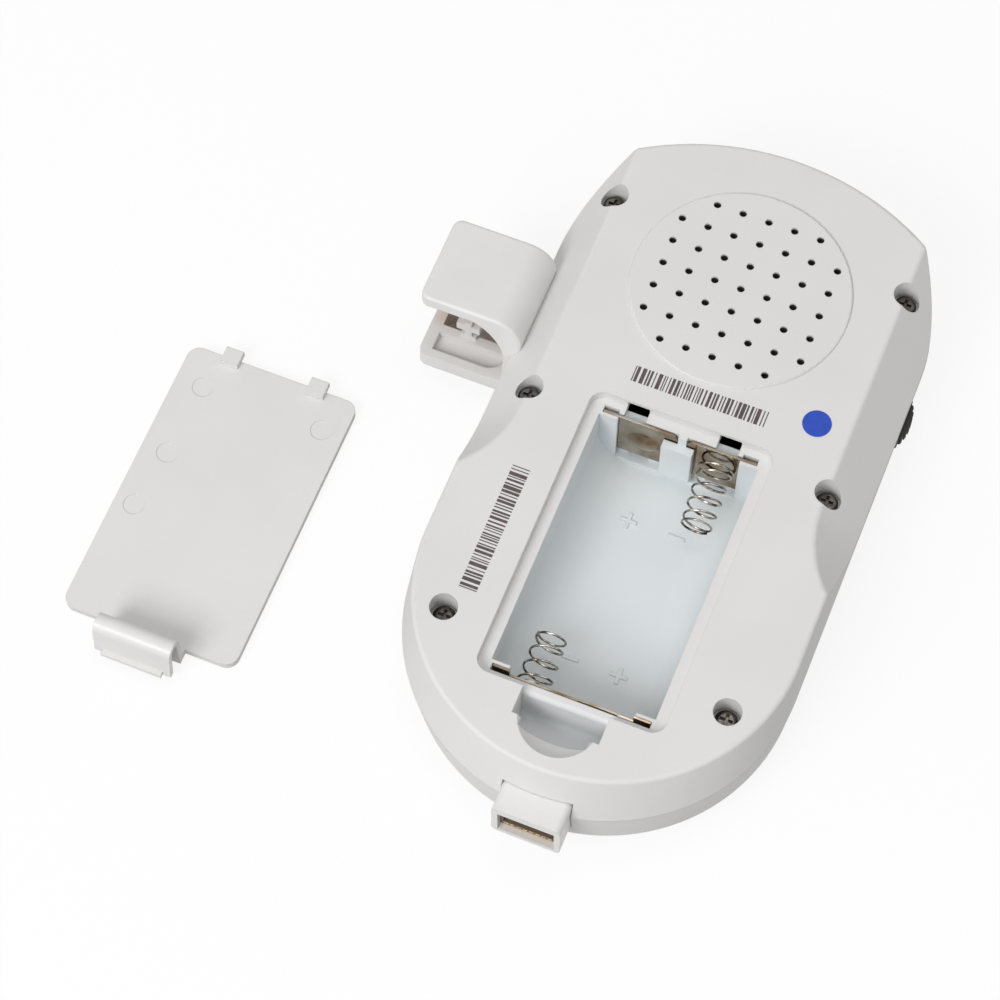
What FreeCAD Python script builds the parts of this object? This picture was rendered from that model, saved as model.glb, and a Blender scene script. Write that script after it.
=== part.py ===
import FreeCAD, Part
import math
import os

from FreeCAD import Vector

# Pocket fetal doppler monitor, lying face down with its battery door taken off and turned
# over beside it.  Millimetres.  The origin is on the resting plane under the middle of the
# case: +X right, +Y towards the speaker end, +Z up to the back of the case.

# ---- working allowances ----
overlap = 0.1                 # how far two forms of one solid sink into each other
beyond = 1.0                  # how far a cut runs past the face that it opens
far = 90.0                    # half the side of a block that takes in the whole case

# ---- case ----
split_height = 16.0           # height of the parting line between the two shells
case_half_width = 35.5        # at the parting line
case_bottom_y = -67.3         # end of the case at the parting line
case_top_y = 65.3             # middle of the curved top end
shoulder_y = 36.0             # where the straight sides start to curve in
top_corner_in = 7.5           # from the side to the corner of the top end
top_corner_y = 57.0
back_side_draft = 0.9         # how far the back face stands in from the parting line, at the sides
back_end_draft = 3.5          # and at the bottom end
front_side_draft = 1.2        # the same for the front face
front_end_draft = 2.4
wall = 2.0
front_fillet = 5.0
back_fillet = 0.8
lip_height = 1.0              # tongue of the front shell inside the rear shell
lip_gap = 0.1

# ---- sloping grips ----
grip_run = 7.5                # width of the slope, in from the side
grip_drop = 9.0               # height of the slope
grip_end_y = 0.0              # where the slope starts to run out
grip_end_radius = 22.0        # radius of the run-out in plan
grip_under = 4.0              # how far the cut goes on below the slope
grip_round = 1.2              # rounding of the slope's upper edge

# ---- speaker and grille ----
speaker_y = 35.5
grille_radius = 20.3
grille_rise = 0.4
grille_edge = 0.3
grille_wall = 1.2             # plastic under the holes
grille_pitch = 5.0
grille_hole_radius = 0.7
grille_rows = 3               # rows each side of the middle one
speaker_radius = 19.0
speaker_depth = 8.0
speaker_flange = 1.2
speaker_gap = 0.3             # round the speaker in its ring
basket_sheet = 0.8
basket_rim = 2.2              # width of the basket's flange
basket_seat = 3.5             # how far the magnet's seat reaches in
basket_foot = 0.8             # and how far it stands out
gasket_thickness = 0.5
gasket_width = 2.5
cloth_thickness = 0.2
magnet_radius = 9.0
magnet_height = 3.2
pole_radius = 4.8
pole_height = 1.6
speaker_rib = 1.4
speaker_rib_below = 1.5       # below the speaker's flange
cone_skin = 0.2
cone_edge = 4.3               # from the speaker's edge to the cone's edge
cone_rim = 2.6                # and to the rim of the surround
cone_hub_radius = 5.0
cone_depth = 3.0
cap_height = 1.4

# ---- battery compartment ----
cell_radius = 7.25            # AA cell
cell_gap = 0.25
cell_cover = 0.3              # from a cell up to the ledge
tray_wall = 1.2
tray_board_gap = 0.35         # from the tray down to the circuit board
tray_bottom_y = -47.4
tray_top_y = 3.5
tray_sill = 1.0               # plastic left under the openings in the end walls
recess_side = 2.2             # ledge beside the tray
recess_bottom_y = -50.7
recess_top_y = 6.9
recess_depth = 2.0
recess_corner = 2.6
recess_skirt = 1.6            # plastic round the ledge
ledge_thickness = 1.5
top_slot_y = 4.1              # front of the slots that hold the upper contact plates
top_slot = 0.8                # their width
bottom_slot_y = -49.35        # outer side of the slot of the lower plate
bottom_slot = 1.35
end_pocket = 1.4              # shallow wider ends of the upper slots
end_pocket_length = 2.9
end_pocket_depth = 1.8
slot_side = 0.4               # from a slot's end to the tray's side
guide_width = 3.5             # plastic in front of the plates, from the tray's sides
web_left = -0.2               # plastic between the two upper plates
web_right = 1.4
block_left = -2.8             # block in front of them
block_right = 3.0
block_front_y = 2.5
block_top = 21.8
block_bottom = 11.2
mark_size = 3.2               # polarity marks raised on the tray floor
mark_width = 0.7
mark_height = 0.2
mark_in = 2.9                 # from the middle of a cell
mark_inset = 11.0             # from the ends of the tray
window_width = 4.0            # windows in the wall under the upper plates
window_height = 1.9
lug_slot_width = 3.2          # slots for their solder lugs, behind them
lug_slot_height = 1.4
lug_rise = 3.6                # lug above the foot of its plate

# ---- battery door ----
door_gap = 0.15               # round the door in its recess
door_thickness = 1.9
door_edge_fillet = 0.4
door_lie_x = -77.7            # where the door lies, middle of the plate
door_lie_y = -29.3
tab_x = 8.7
tab_width = 3.5
tab_height = 1.3
tab_back = 1.7                # on the plate
tab_reach = 1.5               # past the end of the plate
tab_gap = 0.3
tab_slot_rise = 1.2           # above the ledge
pin_mark_radius = 2.0
pin_mark_depth = 0.08
pin_marks = ((11.5, 21.1), (12.0, 6.2), (13.2, -5.7), (-12.6, 21.1))

# ---- door latch, a U-shaped spring tongue ----
latch_width = 15.0
latch_depth = 8.2             # below the inner face of the door
latch_foot = 1.2              # from the end of the plate to the inner leg
latch_thickness = 1.0
latch_bend = 2.0              # outer radius of the bend
latch_slit_deg = 10.0         # slit beside the inner leg, on the bend
latch_flare = 0.7             # how far the outer leg leans out
latch_top_gap = 2.2           # free end of the leg, below the back face
latch_lip = 0.8
latch_lip_width = 11.8
latch_lip_height = 1.0
pocket_gap = 0.4
pocket_wall = 0.5             # from the end of the recess to the latch pocket
pocket_notch = 1.7            # the narrower outer part of the pocket
pocket_brow = 1.0             # rounding of the wall between tray and pocket
pocket_foot = 1.2             # and of its foot
pocket_gate = 1.5             # how far the opening in the recess's end reaches in
scoop_radius = 7.1            # finger scoop on the back face
scoop_depth = 4.2
scoop_wall = 1.3
scoop_in = 3.2                # its middle, from the outer leg of the latch

# ---- case screws ----
screw_places = ((7.2, 45.9), (7.3, 3.1), (9.5, -42.3))   # in from the case's side, and along Y
screw_recess_radius = 2.5
screw_seat_depth = 5.1        # below the back face
boss_wall = 1.1
tower_skin = 0.4              # how far the screw towers sink into the back wall
screw_head_radius = 2.1
screw_head_height = 1.4
screw_radius = 1.15
screw_length = 9.0
screw_clearance = 0.15
screw_pilot = 0.1             # thread bites this much into the front boss
screw_hole_end = 1.5          # plastic under the pilot hole, on the front wall
screw_tip_radius = 0.15
head_round = 0.6              # share of a screw head's height that is rounded
cross_depth = 0.55            # cross recess, as shares of the head's height and radius
cross_reach = 0.55
cross_half = 0.13

# ---- side clip for the probe ----
clip_reach = 18.0             # how far it stands out from the side of the case
clip_run_in = 1.9             # and how far it runs in over the grip
clip_front_y = 12.7           # front edge of the roof
clip_shelf_y = 10.3           # front edge of the shelf
clip_back_y = 30.5
clip_bottom = 5.0
clip_plate = 2.3
clip_shelf = 3.0
clip_back_wall = 1.6
clip_round = 5.5              # long edge towards the case
clip_corner = 1.8             # upright corners on the far side
clip_edge = 0.7
clip_arch_out = 7.5           # where the roof starts to curve down, out from the case's side
clip_mouth_out = 1.3          # end of the mouth, out from the case's side
clip_arch_drop = 10.5
clip_rim = 2.3                # rim of the shelf at the far side
clip_dish_front_y = 12.4      # dish in the shelf
clip_dish_back_y = 16.1
clip_dish_depth = 1.5
clip_dish_round = 3.5
clip_dish_in = 0.8            # from the end of the mouth
clip_sill_back_y = 17.9       # behind the sill the well begins
clip_well_in = 1.2            # from the end of the mouth
clip_keel = 4.0               # how far the back part reaches below the shelf
clip_keel_y = 16.7
clip_well_floor = 1.0
clip_rib_out = 10.3           # middle of the rib, out from the case's side
clip_rib_front_y = 16.9
clip_rib_width = 1.4
clip_rib_height = 5.2
clip_rib_base = 3.1           # its wider foot on the sill
clip_rib_base_height = 0.9
clip_rib_arm = 4.6
clip_rib_arm_thickness = 1.8
clip_rib_arm_rise = 2.6
tongue_half_length = 5.5
tongue_height = 6.0
tongue_gap = 0.1
hook_gap = 0.2
hook_thickness = 1.2
hook_reach = 1.2

# ---- probe socket at the bottom end ----
socket_x = 0.7
socket_width = 12.6
socket_bottom = 9.3
socket_top = 19.5
socket_end_y = -71.0
socket_inner_y = -62.3
socket_round = 1.2
socket_mouth_width = 10.3
socket_mouth_height = 7.1
socket_mouth_bottom = 10.3
socket_mouth_depth = 7.5
socket_flange = 1.6
socket_flange_depth = 1.2
socket_flange_low = 1.2       # flange below the hood
socket_flange_top = 1.6       # and how far it stays under the hood's top
socket_gap = 0.1
insert_setback = 1.3          # connector housing behind the edge of the mouth
insert_gap = 0.05
insert_side = 0.5             # its walls beside, under and over the plug
insert_floor = 1.1
insert_depth = 5.0            # depth of its slot
blade_count = 8
blade_pitch = 1.15
blade_width = 0.85
blade_thickness = 0.7
blade_rise = 0.3              # above the floor of the mouth
blade_proud = 0.1             # in front of the housing

# ---- volume thumbwheel ----
wheel_proud = 1.2             # how far it stands out of the case's side
wheel_y = 27.0
wheel_radius = 8.5
wheel_thickness = 2.8
wheel_under = 0.6             # below the parting line
wheel_notches = 40
wheel_notch_radius = 0.35
wheel_slot_gap = 0.3
wheel_slot_in = 1.0           # how far the slot reaches past the inside of the wall
pot_size = 8.4
pot_height = 3.4
pot_floor = 0.5
pot_shaft_radius = 1.5
pot_running_gap = 0.05
pot_end_gap = 0.1

# ---- front face: window, overlay and buttons ----
panel_inset = 7.5
panel_depth = 1.2
overlay_thickness = 0.3
overlay_gap = 0.15
overlay_hole_gap = 0.2        # round the buttons, more than the shell's holes
window_y = 31.0
window_half_width = 20.0
window_half_height = 14.0
window_corner = 2.0
lens_ledge = 1.8
lens_corner = 3.0
lens_thickness = 1.2
lens_gap = 0.1
glass_thickness = 1.9
glass_side = 1.5              # glass and backlight past the window's sides
glass_end = 3.0               # and past its ends
backlight_thickness = 0.9
small_button_radius = 4.5
power_button_radius = 7.0
side_button_in = 19.5         # outer buttons, in from the case's side
button_gap = 0.25
button_seat_gap = 0.05        # between a button's flange and the shell
button_flange = 1.1
button_flange_thickness = 0.85
button_below = 0.35           # end of a button above the resting plane
button_edge = 0.5
button_travel = 0.5
button_dish = 0.35

# ---- circuit board ----
board_gap = 0.2               # above the backlight
board_thickness = 1.2
board_bottom_y = -54.0
board_top_y = 56.0
board_chamfer = 6.0
board_edge = 3.6              # from the lower screws to the side of the board
board_ear_half = 8.0
board_screw_gap = 0.5         # between a lower screw's head and the battery tray
board_upper_screw = (16.5, 51.5)
board_lower_screw_y = -46.5
board_screw_radius = 1.0
board_screw_head_radius = 1.7
board_screw_head = 1.1
board_screw_length = 3.6
board_hole_gap = 0.1
standoff_radius = 2.6
standoff_hole_end = 0.6
switch_size = 6.0
switch_body = 1.0
switch_plunger_radius = 1.6
switch_air = 0.1              # between a pressed button and its switch
chip_places = (               # middle along X and Y, width, depth, height
    (-9.0, 34.0, 10.0, 10.0, 1.4), (6.0, 36.0, 8.0, 6.0, 1.6), (6.0, 26.0, 5.0, 4.0, 1.5),
    (-14.0, 20.0, 6.0, 5.0, 2.0), (-9.0, 48.0, 9.0, 4.0, 1.2),
)
can_places = ((14.0, 18.5), (8.0, 17.0), (-7.5, 17.0))
can_radius = 2.5
can_height = 5.4

# ---- headphone jack at the top end ----
jack_x = 8.0
jack_width = 6.4
jack_length = 11.0
jack_height = 5.0
jack_nose_radius = 2.4
jack_bore_radius = 1.75
jack_bore_depth = 8.9
jack_gap = 0.1
jack_setback = 1.4            # square body behind the inside of the curved wall
jack_inset = 0.4              # nose below the outside of the wall

# ---- blue disc on the back ----
disc_in = 13.7                # in from the case's side
disc_y = 15.0
disc_radius = 2.62
disc_thickness = 0.1

# ---- contacts and leads ----
sheet = 0.4
plate_gap = 0.15              # plates in their slots
plate_corner = 1.2
flange_drop = 1.0             # bent end of an upper plate, below the ledge
bridge_gap = 0.05             # between the lower plate and its guides
bridge_foot = 3.0             # above the tray floor
bridge_drop = 2.1             # middle of the lower plate, below the ledge
bridge_step = 0.4             # raised part of its upper edge
bridge_step_left = 1.2
bridge_step_right = 8.4
dome_radius = 3.3
dome_height = 0.9
dome_in = 0.9                 # domes, in from the middle of a cell and above it
dome_rise = 0.9
spring_gap = 0.02
spring_wire = 0.22
spring_closed = 1.0           # turns that lie closed at each end
spring_steps = 12             # points of the path in a turn
top_spring_rise = 1.8         # root above the middle of a cell
top_spring_radius = 3.2
top_spring_end_radius = 2.65
top_spring_length = 11.5
top_spring_turns = 6.0
top_spring_end_deg = 319.0    # where the wire ends, turned from +X
top_spring_lean = 2.5         # degrees, sideways
top_spring_drop = 5.0         # degrees, the free end sags
bottom_spring_rise = 1.05
bottom_spring_radius = 3.15
bottom_spring_end_radius = 2.55
bottom_spring_length = 10.4
bottom_spring_turns = 5.25
bottom_spring_end_deg = 210.0
bottom_spring_lean = 1.5
lug_half = 1.2
lug_end = 1.2                 # behind the tray's end wall
lead_radius = 0.55
lead_run = 3.2                # battery leads, before they turn down
speaker_lead_x = 2.0
speaker_lead_in = 1.2         # from the speaker's edge
speaker_lead_drop = 7.0
speaker_lead_slant = 4.0
speaker_lead_back = 2.5
lead_gap = 0.05

# ---- worked out ----
panel_inner = panel_depth + wall
glass_top = panel_inner + glass_thickness
backlight_top = glass_top + backlight_thickness
board_bottom = backlight_top + board_gap
board_top = board_bottom + board_thickness
cradle_radius = cell_radius + cell_gap
tray_base = board_top + tray_board_gap
tray_floor = tray_base + tray_wall
cell_z = tray_floor + cradle_radius
ledge_height = cell_z + cell_radius + cell_cover
case_height = ledge_height + recess_depth     # resting plane to back face
back_inner = case_height - wall
cell_x = cradle_radius
tray_half_width = 2.0 * cradle_radius
recess_half_width = tray_half_width + recess_side
tray_end_y = top_slot_y + end_pocket + tray_wall
opening_half_width = tray_half_width - guide_width
plate_foot = tray_floor + tray_sill + window_height
plate_top = ledge_height - plate_gap
lug_z = plate_foot + lug_rise
top_corner_x = case_half_width - top_corner_in
grip_x = case_half_width - grip_run           # upper edge of the slope on the back face
side_button_x = case_half_width - side_button_in
disc_x = case_half_width - disc_in
buttons = (
    ("mode_button", -side_button_x, -13.0, small_button_radius),
    ("play_button", 0.0, -9.0, small_button_radius),
    ("record_button", side_button_x, -13.0, small_button_radius),
    ("power_button", 0.0, -36.0, power_button_radius),
)
board_lower_screw_x = (tray_half_width + tray_wall + board_screw_head_radius
                       + board_screw_gap)
board_screws_at = (board_upper_screw, (board_lower_screw_x, board_lower_screw_y))
board_half_width = board_lower_screw_x + board_edge
wheel_bottom = split_height - wheel_under - wheel_thickness
wheel_x = case_half_width + wheel_proud - wheel_radius
board_ear_x = wheel_x + pot_size / 2.0
seat_x = 0.0
seat_y = (recess_bottom_y + recess_top_y) / 2.0
door_half_width = recess_half_width - door_gap
door_half_length = (recess_top_y - recess_bottom_y) / 2.0 - door_gap
door_inner = case_height - door_thickness
screw_seat = case_height - screw_seat_depth
boss_radius = screw_recess_radius + boss_wall
boss_top = split_height + lip_height          # where the posts of the two shells meet
turn_x = (seat_x + door_lie_x) / 2.0
turn_z = case_height / 2.0
grille_inner = case_height + grille_rise - grille_wall
speaker_front = grille_inner - gasket_thickness - cloth_thickness
speaker_ring_radius = speaker_radius + speaker_gap
magnet_seat = speaker_front - speaker_depth + magnet_height
scoop_rise = (scoop_radius ** 2 - scoop_depth ** 2) / (2.0 * scoop_depth)
clip_left = -case_half_width - clip_reach
clip_right = clip_run_in - case_half_width
clip_arch_x = -case_half_width - clip_arch_out
clip_mouth_right = -case_half_width - clip_mouth_out
clip_rib_x = -case_half_width - clip_rib_out
clip_floor = clip_bottom + clip_shelf
clip_roof = case_height - clip_plate
clip_inner_y = clip_back_y - clip_back_wall
clip_middle_y = (clip_front_y + clip_back_y) / 2.0


# ---------------------------------------------------------------- helpers
def box(x0, x1, y0, y1, z0, z1):
    """Box between two corners."""
    return Part.makeBox(x1 - x0, y1 - y0, z1 - z0, Vector(x0, y0, z0))


def centred_box(x, y, width, depth, z0, z1):
    """Box round an upright middle line."""
    return box(x - width / 2.0, x + width / 2.0, y - depth / 2.0, y + depth / 2.0, z0, z1)


def cylinder(x, y, z0, z1, radius):
    """Upright cylinder."""
    return Part.makeCylinder(radius, z1 - z0, Vector(x, y, z0))


def bar_along_x(half, y, z, radius):
    """Cylinder along X, half to each side of the middle plane."""
    return Part.makeCylinder(radius, 2.0 * half, Vector(-half, y, z), Vector(1, 0, 0))


def fuse_all(shapes):
    """Union of a list of solids, with its coplanar faces merged."""
    result = shapes[0].multiFuse(shapes[1:])
    return result.removeSplitter()


def mirror_x(shape):
    """Mirror image across the middle plane."""
    return shape.mirror(Vector(0, 0, 0), Vector(1, 0, 0))


def face_from(points):
    """Flat face inside a polygon."""
    return Part.Face(Part.makePolygon(points + points[:1]))


def upright_edges(solid):
    """Edges that run along Z."""
    return [e for e in solid.Edges if abs(e.tangentAt(e.FirstParameter).z) > 0.99]


def edges_at(solid, height):
    """Edges that lie in the level plane at a height."""
    near = 0.01
    return [e for e in solid.Edges
            if abs(e.BoundBox.ZMin - height) < near and abs(e.BoundBox.ZMax - height) < near]


def rounded_box(x0, x1, y0, y1, z0, z1, radius):
    """Box with rounded upright corners."""
    solid = box(x0, x1, y0, y1, z0, z1)
    return solid.makeFillet(radius, upright_edges(solid))


def outline(height, side_in, end_in, inset=0.0):
    """Closed wire of the case at a height: semicircular bottom end, straight sides,
    curved shoulders and a shallow arc across the top.  inset is a wall thickness."""
    half = case_half_width - side_in - inset
    bottom = case_bottom_y + end_in + inset
    centre = bottom + half
    corner_x = top_corner_x - 0.67 * inset
    corner_y = top_corner_y - 0.76 * inset
    top = case_top_y - inset
    across = half - corner_x
    along = corner_y - shoulder_y
    radius = (across * across + along * along) / (2.0 * across)
    sweep = math.asin(along / radius) / 2.0
    mid_x = half - radius + radius * math.cos(sweep)
    mid_y = shoulder_y + radius * math.sin(sweep)
    quarter = half * math.sqrt(0.5)

    def at(x, y):
        return Vector(x, y, height)

    edges = [
        Part.Arc(at(0, bottom), at(quarter, centre - quarter), at(half, centre)).toShape(),
        Part.LineSegment(at(half, centre), at(half, shoulder_y)).toShape(),
        Part.Arc(at(half, shoulder_y), at(mid_x, mid_y), at(corner_x, corner_y)).toShape(),
        Part.Arc(at(corner_x, corner_y), at(0, top), at(-corner_x, corner_y)).toShape(),
        Part.Arc(at(-corner_x, corner_y), at(-mid_x, mid_y), at(-half, shoulder_y)).toShape(),
        Part.LineSegment(at(-half, shoulder_y), at(-half, centre)).toShape(),
        Part.Arc(at(-half, centre), at(-quarter, centre - quarter), at(0, bottom)).toShape(),
    ]
    return Part.Wire(edges)


def between(lower, upper):
    """Solid with straight sides between two outlines."""
    return Part.makeLoft([lower, upper], True, True)


def draft_at(height):
    """Side and end draft of the case at a height, straight above and below the split."""
    if height >= split_height:
        share = (height - split_height) / (case_height - split_height)
        return back_side_draft * share, back_end_draft * share
    share = (split_height - height) / split_height
    return front_side_draft * share, front_end_draft * share


def case_slice(z0, z1, inset=0.0):
    """The case between two heights on one side of the split, inset by a wall."""
    return between(outline(z0, *draft_at(z0), inset), outline(z1, *draft_at(z1), inset))


def grip_cutter(offset=0.0):
    """What the right grip takes away: a slope with a rounded upper edge, running out on a
    cone at its lower end.  offset moves it into the case, for the wall's inner side."""
    lean = grip_run / grip_drop
    steep = math.atan2(grip_drop, grip_run)
    edge = grip_x - offset / math.sin(steep)
    run = grip_round * math.tan(steep / 2.0)
    under = grip_drop + grip_under
    outer = grip_x + grip_end_radius - grip_under
    centre = Vector(grip_x + grip_end_radius, grip_end_y, 0)

    def at(x, below):
        return Vector(x, grip_end_y, case_height - below)

    start = at(edge - run, 0.0)
    middle = at(edge - run + grip_round * math.sin(steep / 2.0),
                grip_round * (1.0 - math.cos(steep / 2.0)))
    corners = [at(edge + run * math.cos(steep), run * math.sin(steep)),
               at(edge + under * lean, under), at(outer, under), at(outer, -beyond),
               at(edge - run, -beyond), start]
    edges = [Part.Arc(start, middle, corners[0]).toShape()]
    edges += [Part.LineSegment(*ends).toShape() for ends in zip(corners, corners[1:])]
    face = Part.Face(Part.Wire(edges))
    straight = face.extrude(Vector(0, far, 0))
    run_out = face.revolve(centre, Vector(0, 0, 1), 90.0)
    return straight.fuse(run_out).removeSplitter()


def both_grips(offset=0.0):
    """The cuts of both grips."""
    right = grip_cutter(offset)
    return [right, mirror_x(right)]


def screw_points():
    """Every case screw, left and right."""
    return [(side * (case_half_width - inset), y) for inset, y in screw_places
            for side in (-1, 1)]


def board_screw_points():
    """Every screw of the circuit board, left and right."""
    return [(side * x, y) for x, y in board_screws_at for side in (-1, 1)]


def turned_over(shape):
    """Moves a piece from the door's seat to where the door lies, turned over."""
    lying = shape.copy()
    lying.rotate(Vector(turn_x, 0, turn_z), Vector(0, 1, 0), 180.0)
    lying.translate(Vector(0, door_lie_y - seat_y, 0))
    return lying


# ---------------------------------------------------------------- rear shell
def case_back_outside():
    """Outer form of the rear shell, solid, with both grips cut."""
    solid = case_slice(split_height, case_height)
    solid = solid.makeFillet(back_fillet, edges_at(solid, case_height))
    return solid.cut(both_grips())


def case_back_inside():
    """Hollow of the rear shell, with a wider rebate that takes the front shell's lip."""
    hollow = case_slice(split_height, back_inner, wall)
    hollow = hollow.cut(both_grips(wall))
    rebate_top = split_height + lip_height + lip_gap
    rebate = case_slice(split_height, rebate_top, wall / 2.0)
    return [hollow, rebate]


def speaker_ring():
    """Rib that locates the speaker under the grille."""
    low = speaker_front - speaker_flange - speaker_rib_below
    ring = cylinder(0, speaker_y, low, back_inner + tower_skin, speaker_ring_radius + speaker_rib)
    return ring.cut(cylinder(0, speaker_y, 0, case_height, speaker_ring_radius))


def grille_disc():
    """Raised disc of the grille, its edge rounded."""
    top = case_height + grille_rise
    disc = cylinder(0, speaker_y, back_inner + tower_skin, top, grille_radius)
    return disc.makeFillet(grille_edge, edges_at(disc, top))


def grille_holes():
    """Rows of round holes; the outermost rows are two holes shorter.  The last cut is the
    space for the speaker under them."""
    top = case_height + grille_rise + beyond
    holes = []
    for row in range(-grille_rows, grille_rows + 1):
        reach = grille_rows - 1 if abs(row) == grille_rows else grille_rows
        for column in range(-reach, reach + 1):
            x = column * grille_pitch
            y = speaker_y + row * grille_pitch
            holes.append(cylinder(x, y, grille_inner - beyond, top, grille_hole_radius))
    return holes + [cylinder(0, speaker_y, back_inner - beyond, grille_inner,
                             speaker_ring_radius)]


def tray_outside():
    """Battery tray and its ledge, solid, hanging from the back wall."""
    reach = tab_reach + tab_gap + recess_skirt
    top = back_inner + tower_skin
    slab = box(-recess_half_width - recess_skirt, recess_half_width + recess_skirt,
               recess_bottom_y - recess_skirt, recess_top_y + reach,
               ledge_height - ledge_thickness, top)
    side = tray_half_width + tray_wall
    tray = box(-side, side, bottom_slot_y - tray_wall, tray_end_y, tray_base, top)
    return [slab, tray]


def cell_space():
    """Space of the two cells: a cradle for each and a flat floor between them."""
    over = case_height + beyond
    length = tray_top_y - tray_bottom_y
    cradles = [
        Part.makeCylinder(cradle_radius, length, Vector(side * cell_x, tray_bottom_y, cell_z),
                          Vector(0, 1, 0))
        for side in (-1, 1)
    ]
    return cradles + [
        box(-tray_half_width, tray_half_width, tray_bottom_y, tray_top_y, cell_z, over),
        box(-cell_x, cell_x, tray_bottom_y, tray_top_y, tray_floor, cell_z + overlap),
    ]


def upper_slots():
    """Slots of the two upper plates, apart at the web, with shallow wider outer ends."""
    over = case_height + beyond
    low = tray_floor + tray_sill
    end = tray_half_width - slot_side
    back = top_slot_y + top_slot
    pocket_low = ledge_height - end_pocket_depth
    slots = [
        box(-end, web_left, top_slot_y, back, low, over),
        box(web_right, end, top_slot_y, back, low, over),
    ]
    for side in (-1, 1):
        middle = side * (end - end_pocket_length / 2.0)
        slots.append(centred_box(middle, top_slot_y + end_pocket / 2.0, end_pocket_length,
                                 end_pocket, pocket_low, over))
    return slots


def upper_opening():
    """Opening in the tray's upper end, left and right of the block and over it."""
    over = case_height + beyond
    low = tray_floor + tray_sill
    front = tray_top_y - overlap
    back = top_slot_y + overlap
    return [
        box(-opening_half_width, block_left, front, back, low, over),
        box(block_right, opening_half_width, front, back, low, over),
        box(block_left - overlap, web_left, front, back, block_top, over),
        box(web_left - overlap, block_right + overlap, front, top_slot_y, block_top, over),
    ]


def plate_windows():
    """Windows under the upper plates and the narrow slots of their solder lugs."""
    start = top_slot_y + top_slot - overlap
    end = tray_end_y + beyond
    low = tray_floor + tray_sill
    cuts = []
    for side in (-1, 1):
        x = side * cell_x
        cuts.append(box(x - window_width / 2.0, x + window_width / 2.0, start, end, low,
                        low + window_height))
        cuts.append(box(x - lug_slot_width / 2.0, x + lug_slot_width / 2.0, start, end,
                        lug_z - lug_slot_height / 2.0, lug_z + lug_slot_height / 2.0))
    return cuts


def lower_slot():
    """Slot of the lower plate and the opening in front of it."""
    over = case_height + beyond
    low = tray_floor + tray_sill
    end = tray_half_width - slot_side
    slot = box(-end, end, bottom_slot_y, bottom_slot_y + bottom_slot, low, over)
    opening = box(-opening_half_width, opening_half_width,
                  bottom_slot_y + bottom_slot - overlap, tray_bottom_y + overlap, low, over)
    return [slot, opening]


def tray_inside():
    """Everything cut from the tray and the back wall over it."""
    recess = rounded_box(-recess_half_width, recess_half_width, recess_bottom_y, recess_top_y,
                         ledge_height, case_height + beyond, recess_corner)
    return ([recess] + cell_space() + upper_slots() + upper_opening() + plate_windows()
            + lower_slot() + tab_slots())


def tab_slots():
    """Sockets in the end of the recess for the two door tabs."""
    width = tab_width + 2.0 * tab_gap
    start = top_slot_y + top_slot - overlap
    end = recess_top_y + tab_reach - door_gap + tab_gap
    low = door_inner - tab_height - tab_gap
    return [
        centred_box(side * tab_x, (start + end) / 2.0, width, end - start, low,
                    ledge_height + tab_slot_rise)
        for side in (-1, 1)
    ]


def middle_block():
    """Block in front of the upper plates' inner ends, which keeps the cells apart."""
    return box(block_left, block_right, block_front_y, tray_top_y + overlap, block_bottom,
               block_top)


def latch_outer_y():
    """Outer face of the latch's bend, with the door seated."""
    return seat_y - door_half_length - latch_foot - 2.0 * latch_bend


def pocket_span():
    """Start, shoulder and end of the latch pocket along Y, and its floor height."""
    start = recess_bottom_y - pocket_wall
    end = latch_outer_y() - latch_flare - latch_lip - pocket_gap
    floor = door_inner - latch_depth - pocket_gap
    return start, end + pocket_notch, end, floor


def polarity_marks():
    """Raised plus and minus marks on the floor of each cell's place."""
    half = mark_size / 2.0
    thin = mark_width / 2.0
    low = tray_floor - overlap
    top = tray_floor + mark_height
    marks = []
    for side in (-1, 1):
        x = side * (cell_x - mark_in)
        for end, y in ((-1, tray_bottom_y + mark_inset), (1, tray_top_y - mark_inset)):
            marks.append(box(x - half, x + half, y - thin, y + thin, low, top))
            if end != side:
                marks.append(box(x - thin, x + thin, y - half, y + half, low, top))
    return marks


def scoop_ball(radius):
    """Ball whose lower cap is the finger scoop."""
    end = pocket_span()[2]
    return Part.makeSphere(radius, Vector(0, end + pocket_gap + scoop_in,
                                          case_height + scoop_rise))


def pocket_outside():
    """Walls of the latch pocket and the pad under the finger scoop."""
    start, _, end, floor = pocket_span()
    half = latch_width / 2.0 + pocket_gap + tray_wall
    top = back_inner + tower_skin
    walls = box(-half, half, end - tray_wall, start + pocket_gate, floor - tray_wall, top)
    pad = scoop_ball(scoop_rise + scoop_depth + scoop_wall)
    return [walls, pad.common(box(-far, far, -far, 0, 0, top))]


def pocket_inside():
    """The latch pocket with its rounded foot, its narrower outer step, the opening in the
    end of the recess with a rounded brow, and the round finger scoop."""
    start, shoulder, end, floor = pocket_span()
    over = case_height + beyond
    half = latch_width / 2.0 + pocket_gap
    wide = box(-half, half, shoulder, start, floor, over)
    foot = [e for e in edges_at(wide, floor) if abs(e.CenterOfMass.y - start) < overlap]
    wide = wide.makeFillet(pocket_foot, foot)
    narrow = box(-half + pocket_notch, half - pocket_notch, end, shoulder + overlap, floor, over)
    gate = box(-half, half, start - overlap, recess_bottom_y + pocket_gate, ledge_height, over)
    brow = box(-half, half, start - overlap, start + pocket_brow, ledge_height - pocket_brow,
               ledge_height + overlap)
    brow = brow.cut(bar_along_x(half + beyond, start + pocket_brow, ledge_height - pocket_brow,
                                pocket_brow))
    scoop = scoop_ball(scoop_rise + scoop_depth)
    scoop = scoop.common(box(-far, far, -far, shoulder, 0, case_height + far))
    return [wide, narrow, gate, brow, scoop]


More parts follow.
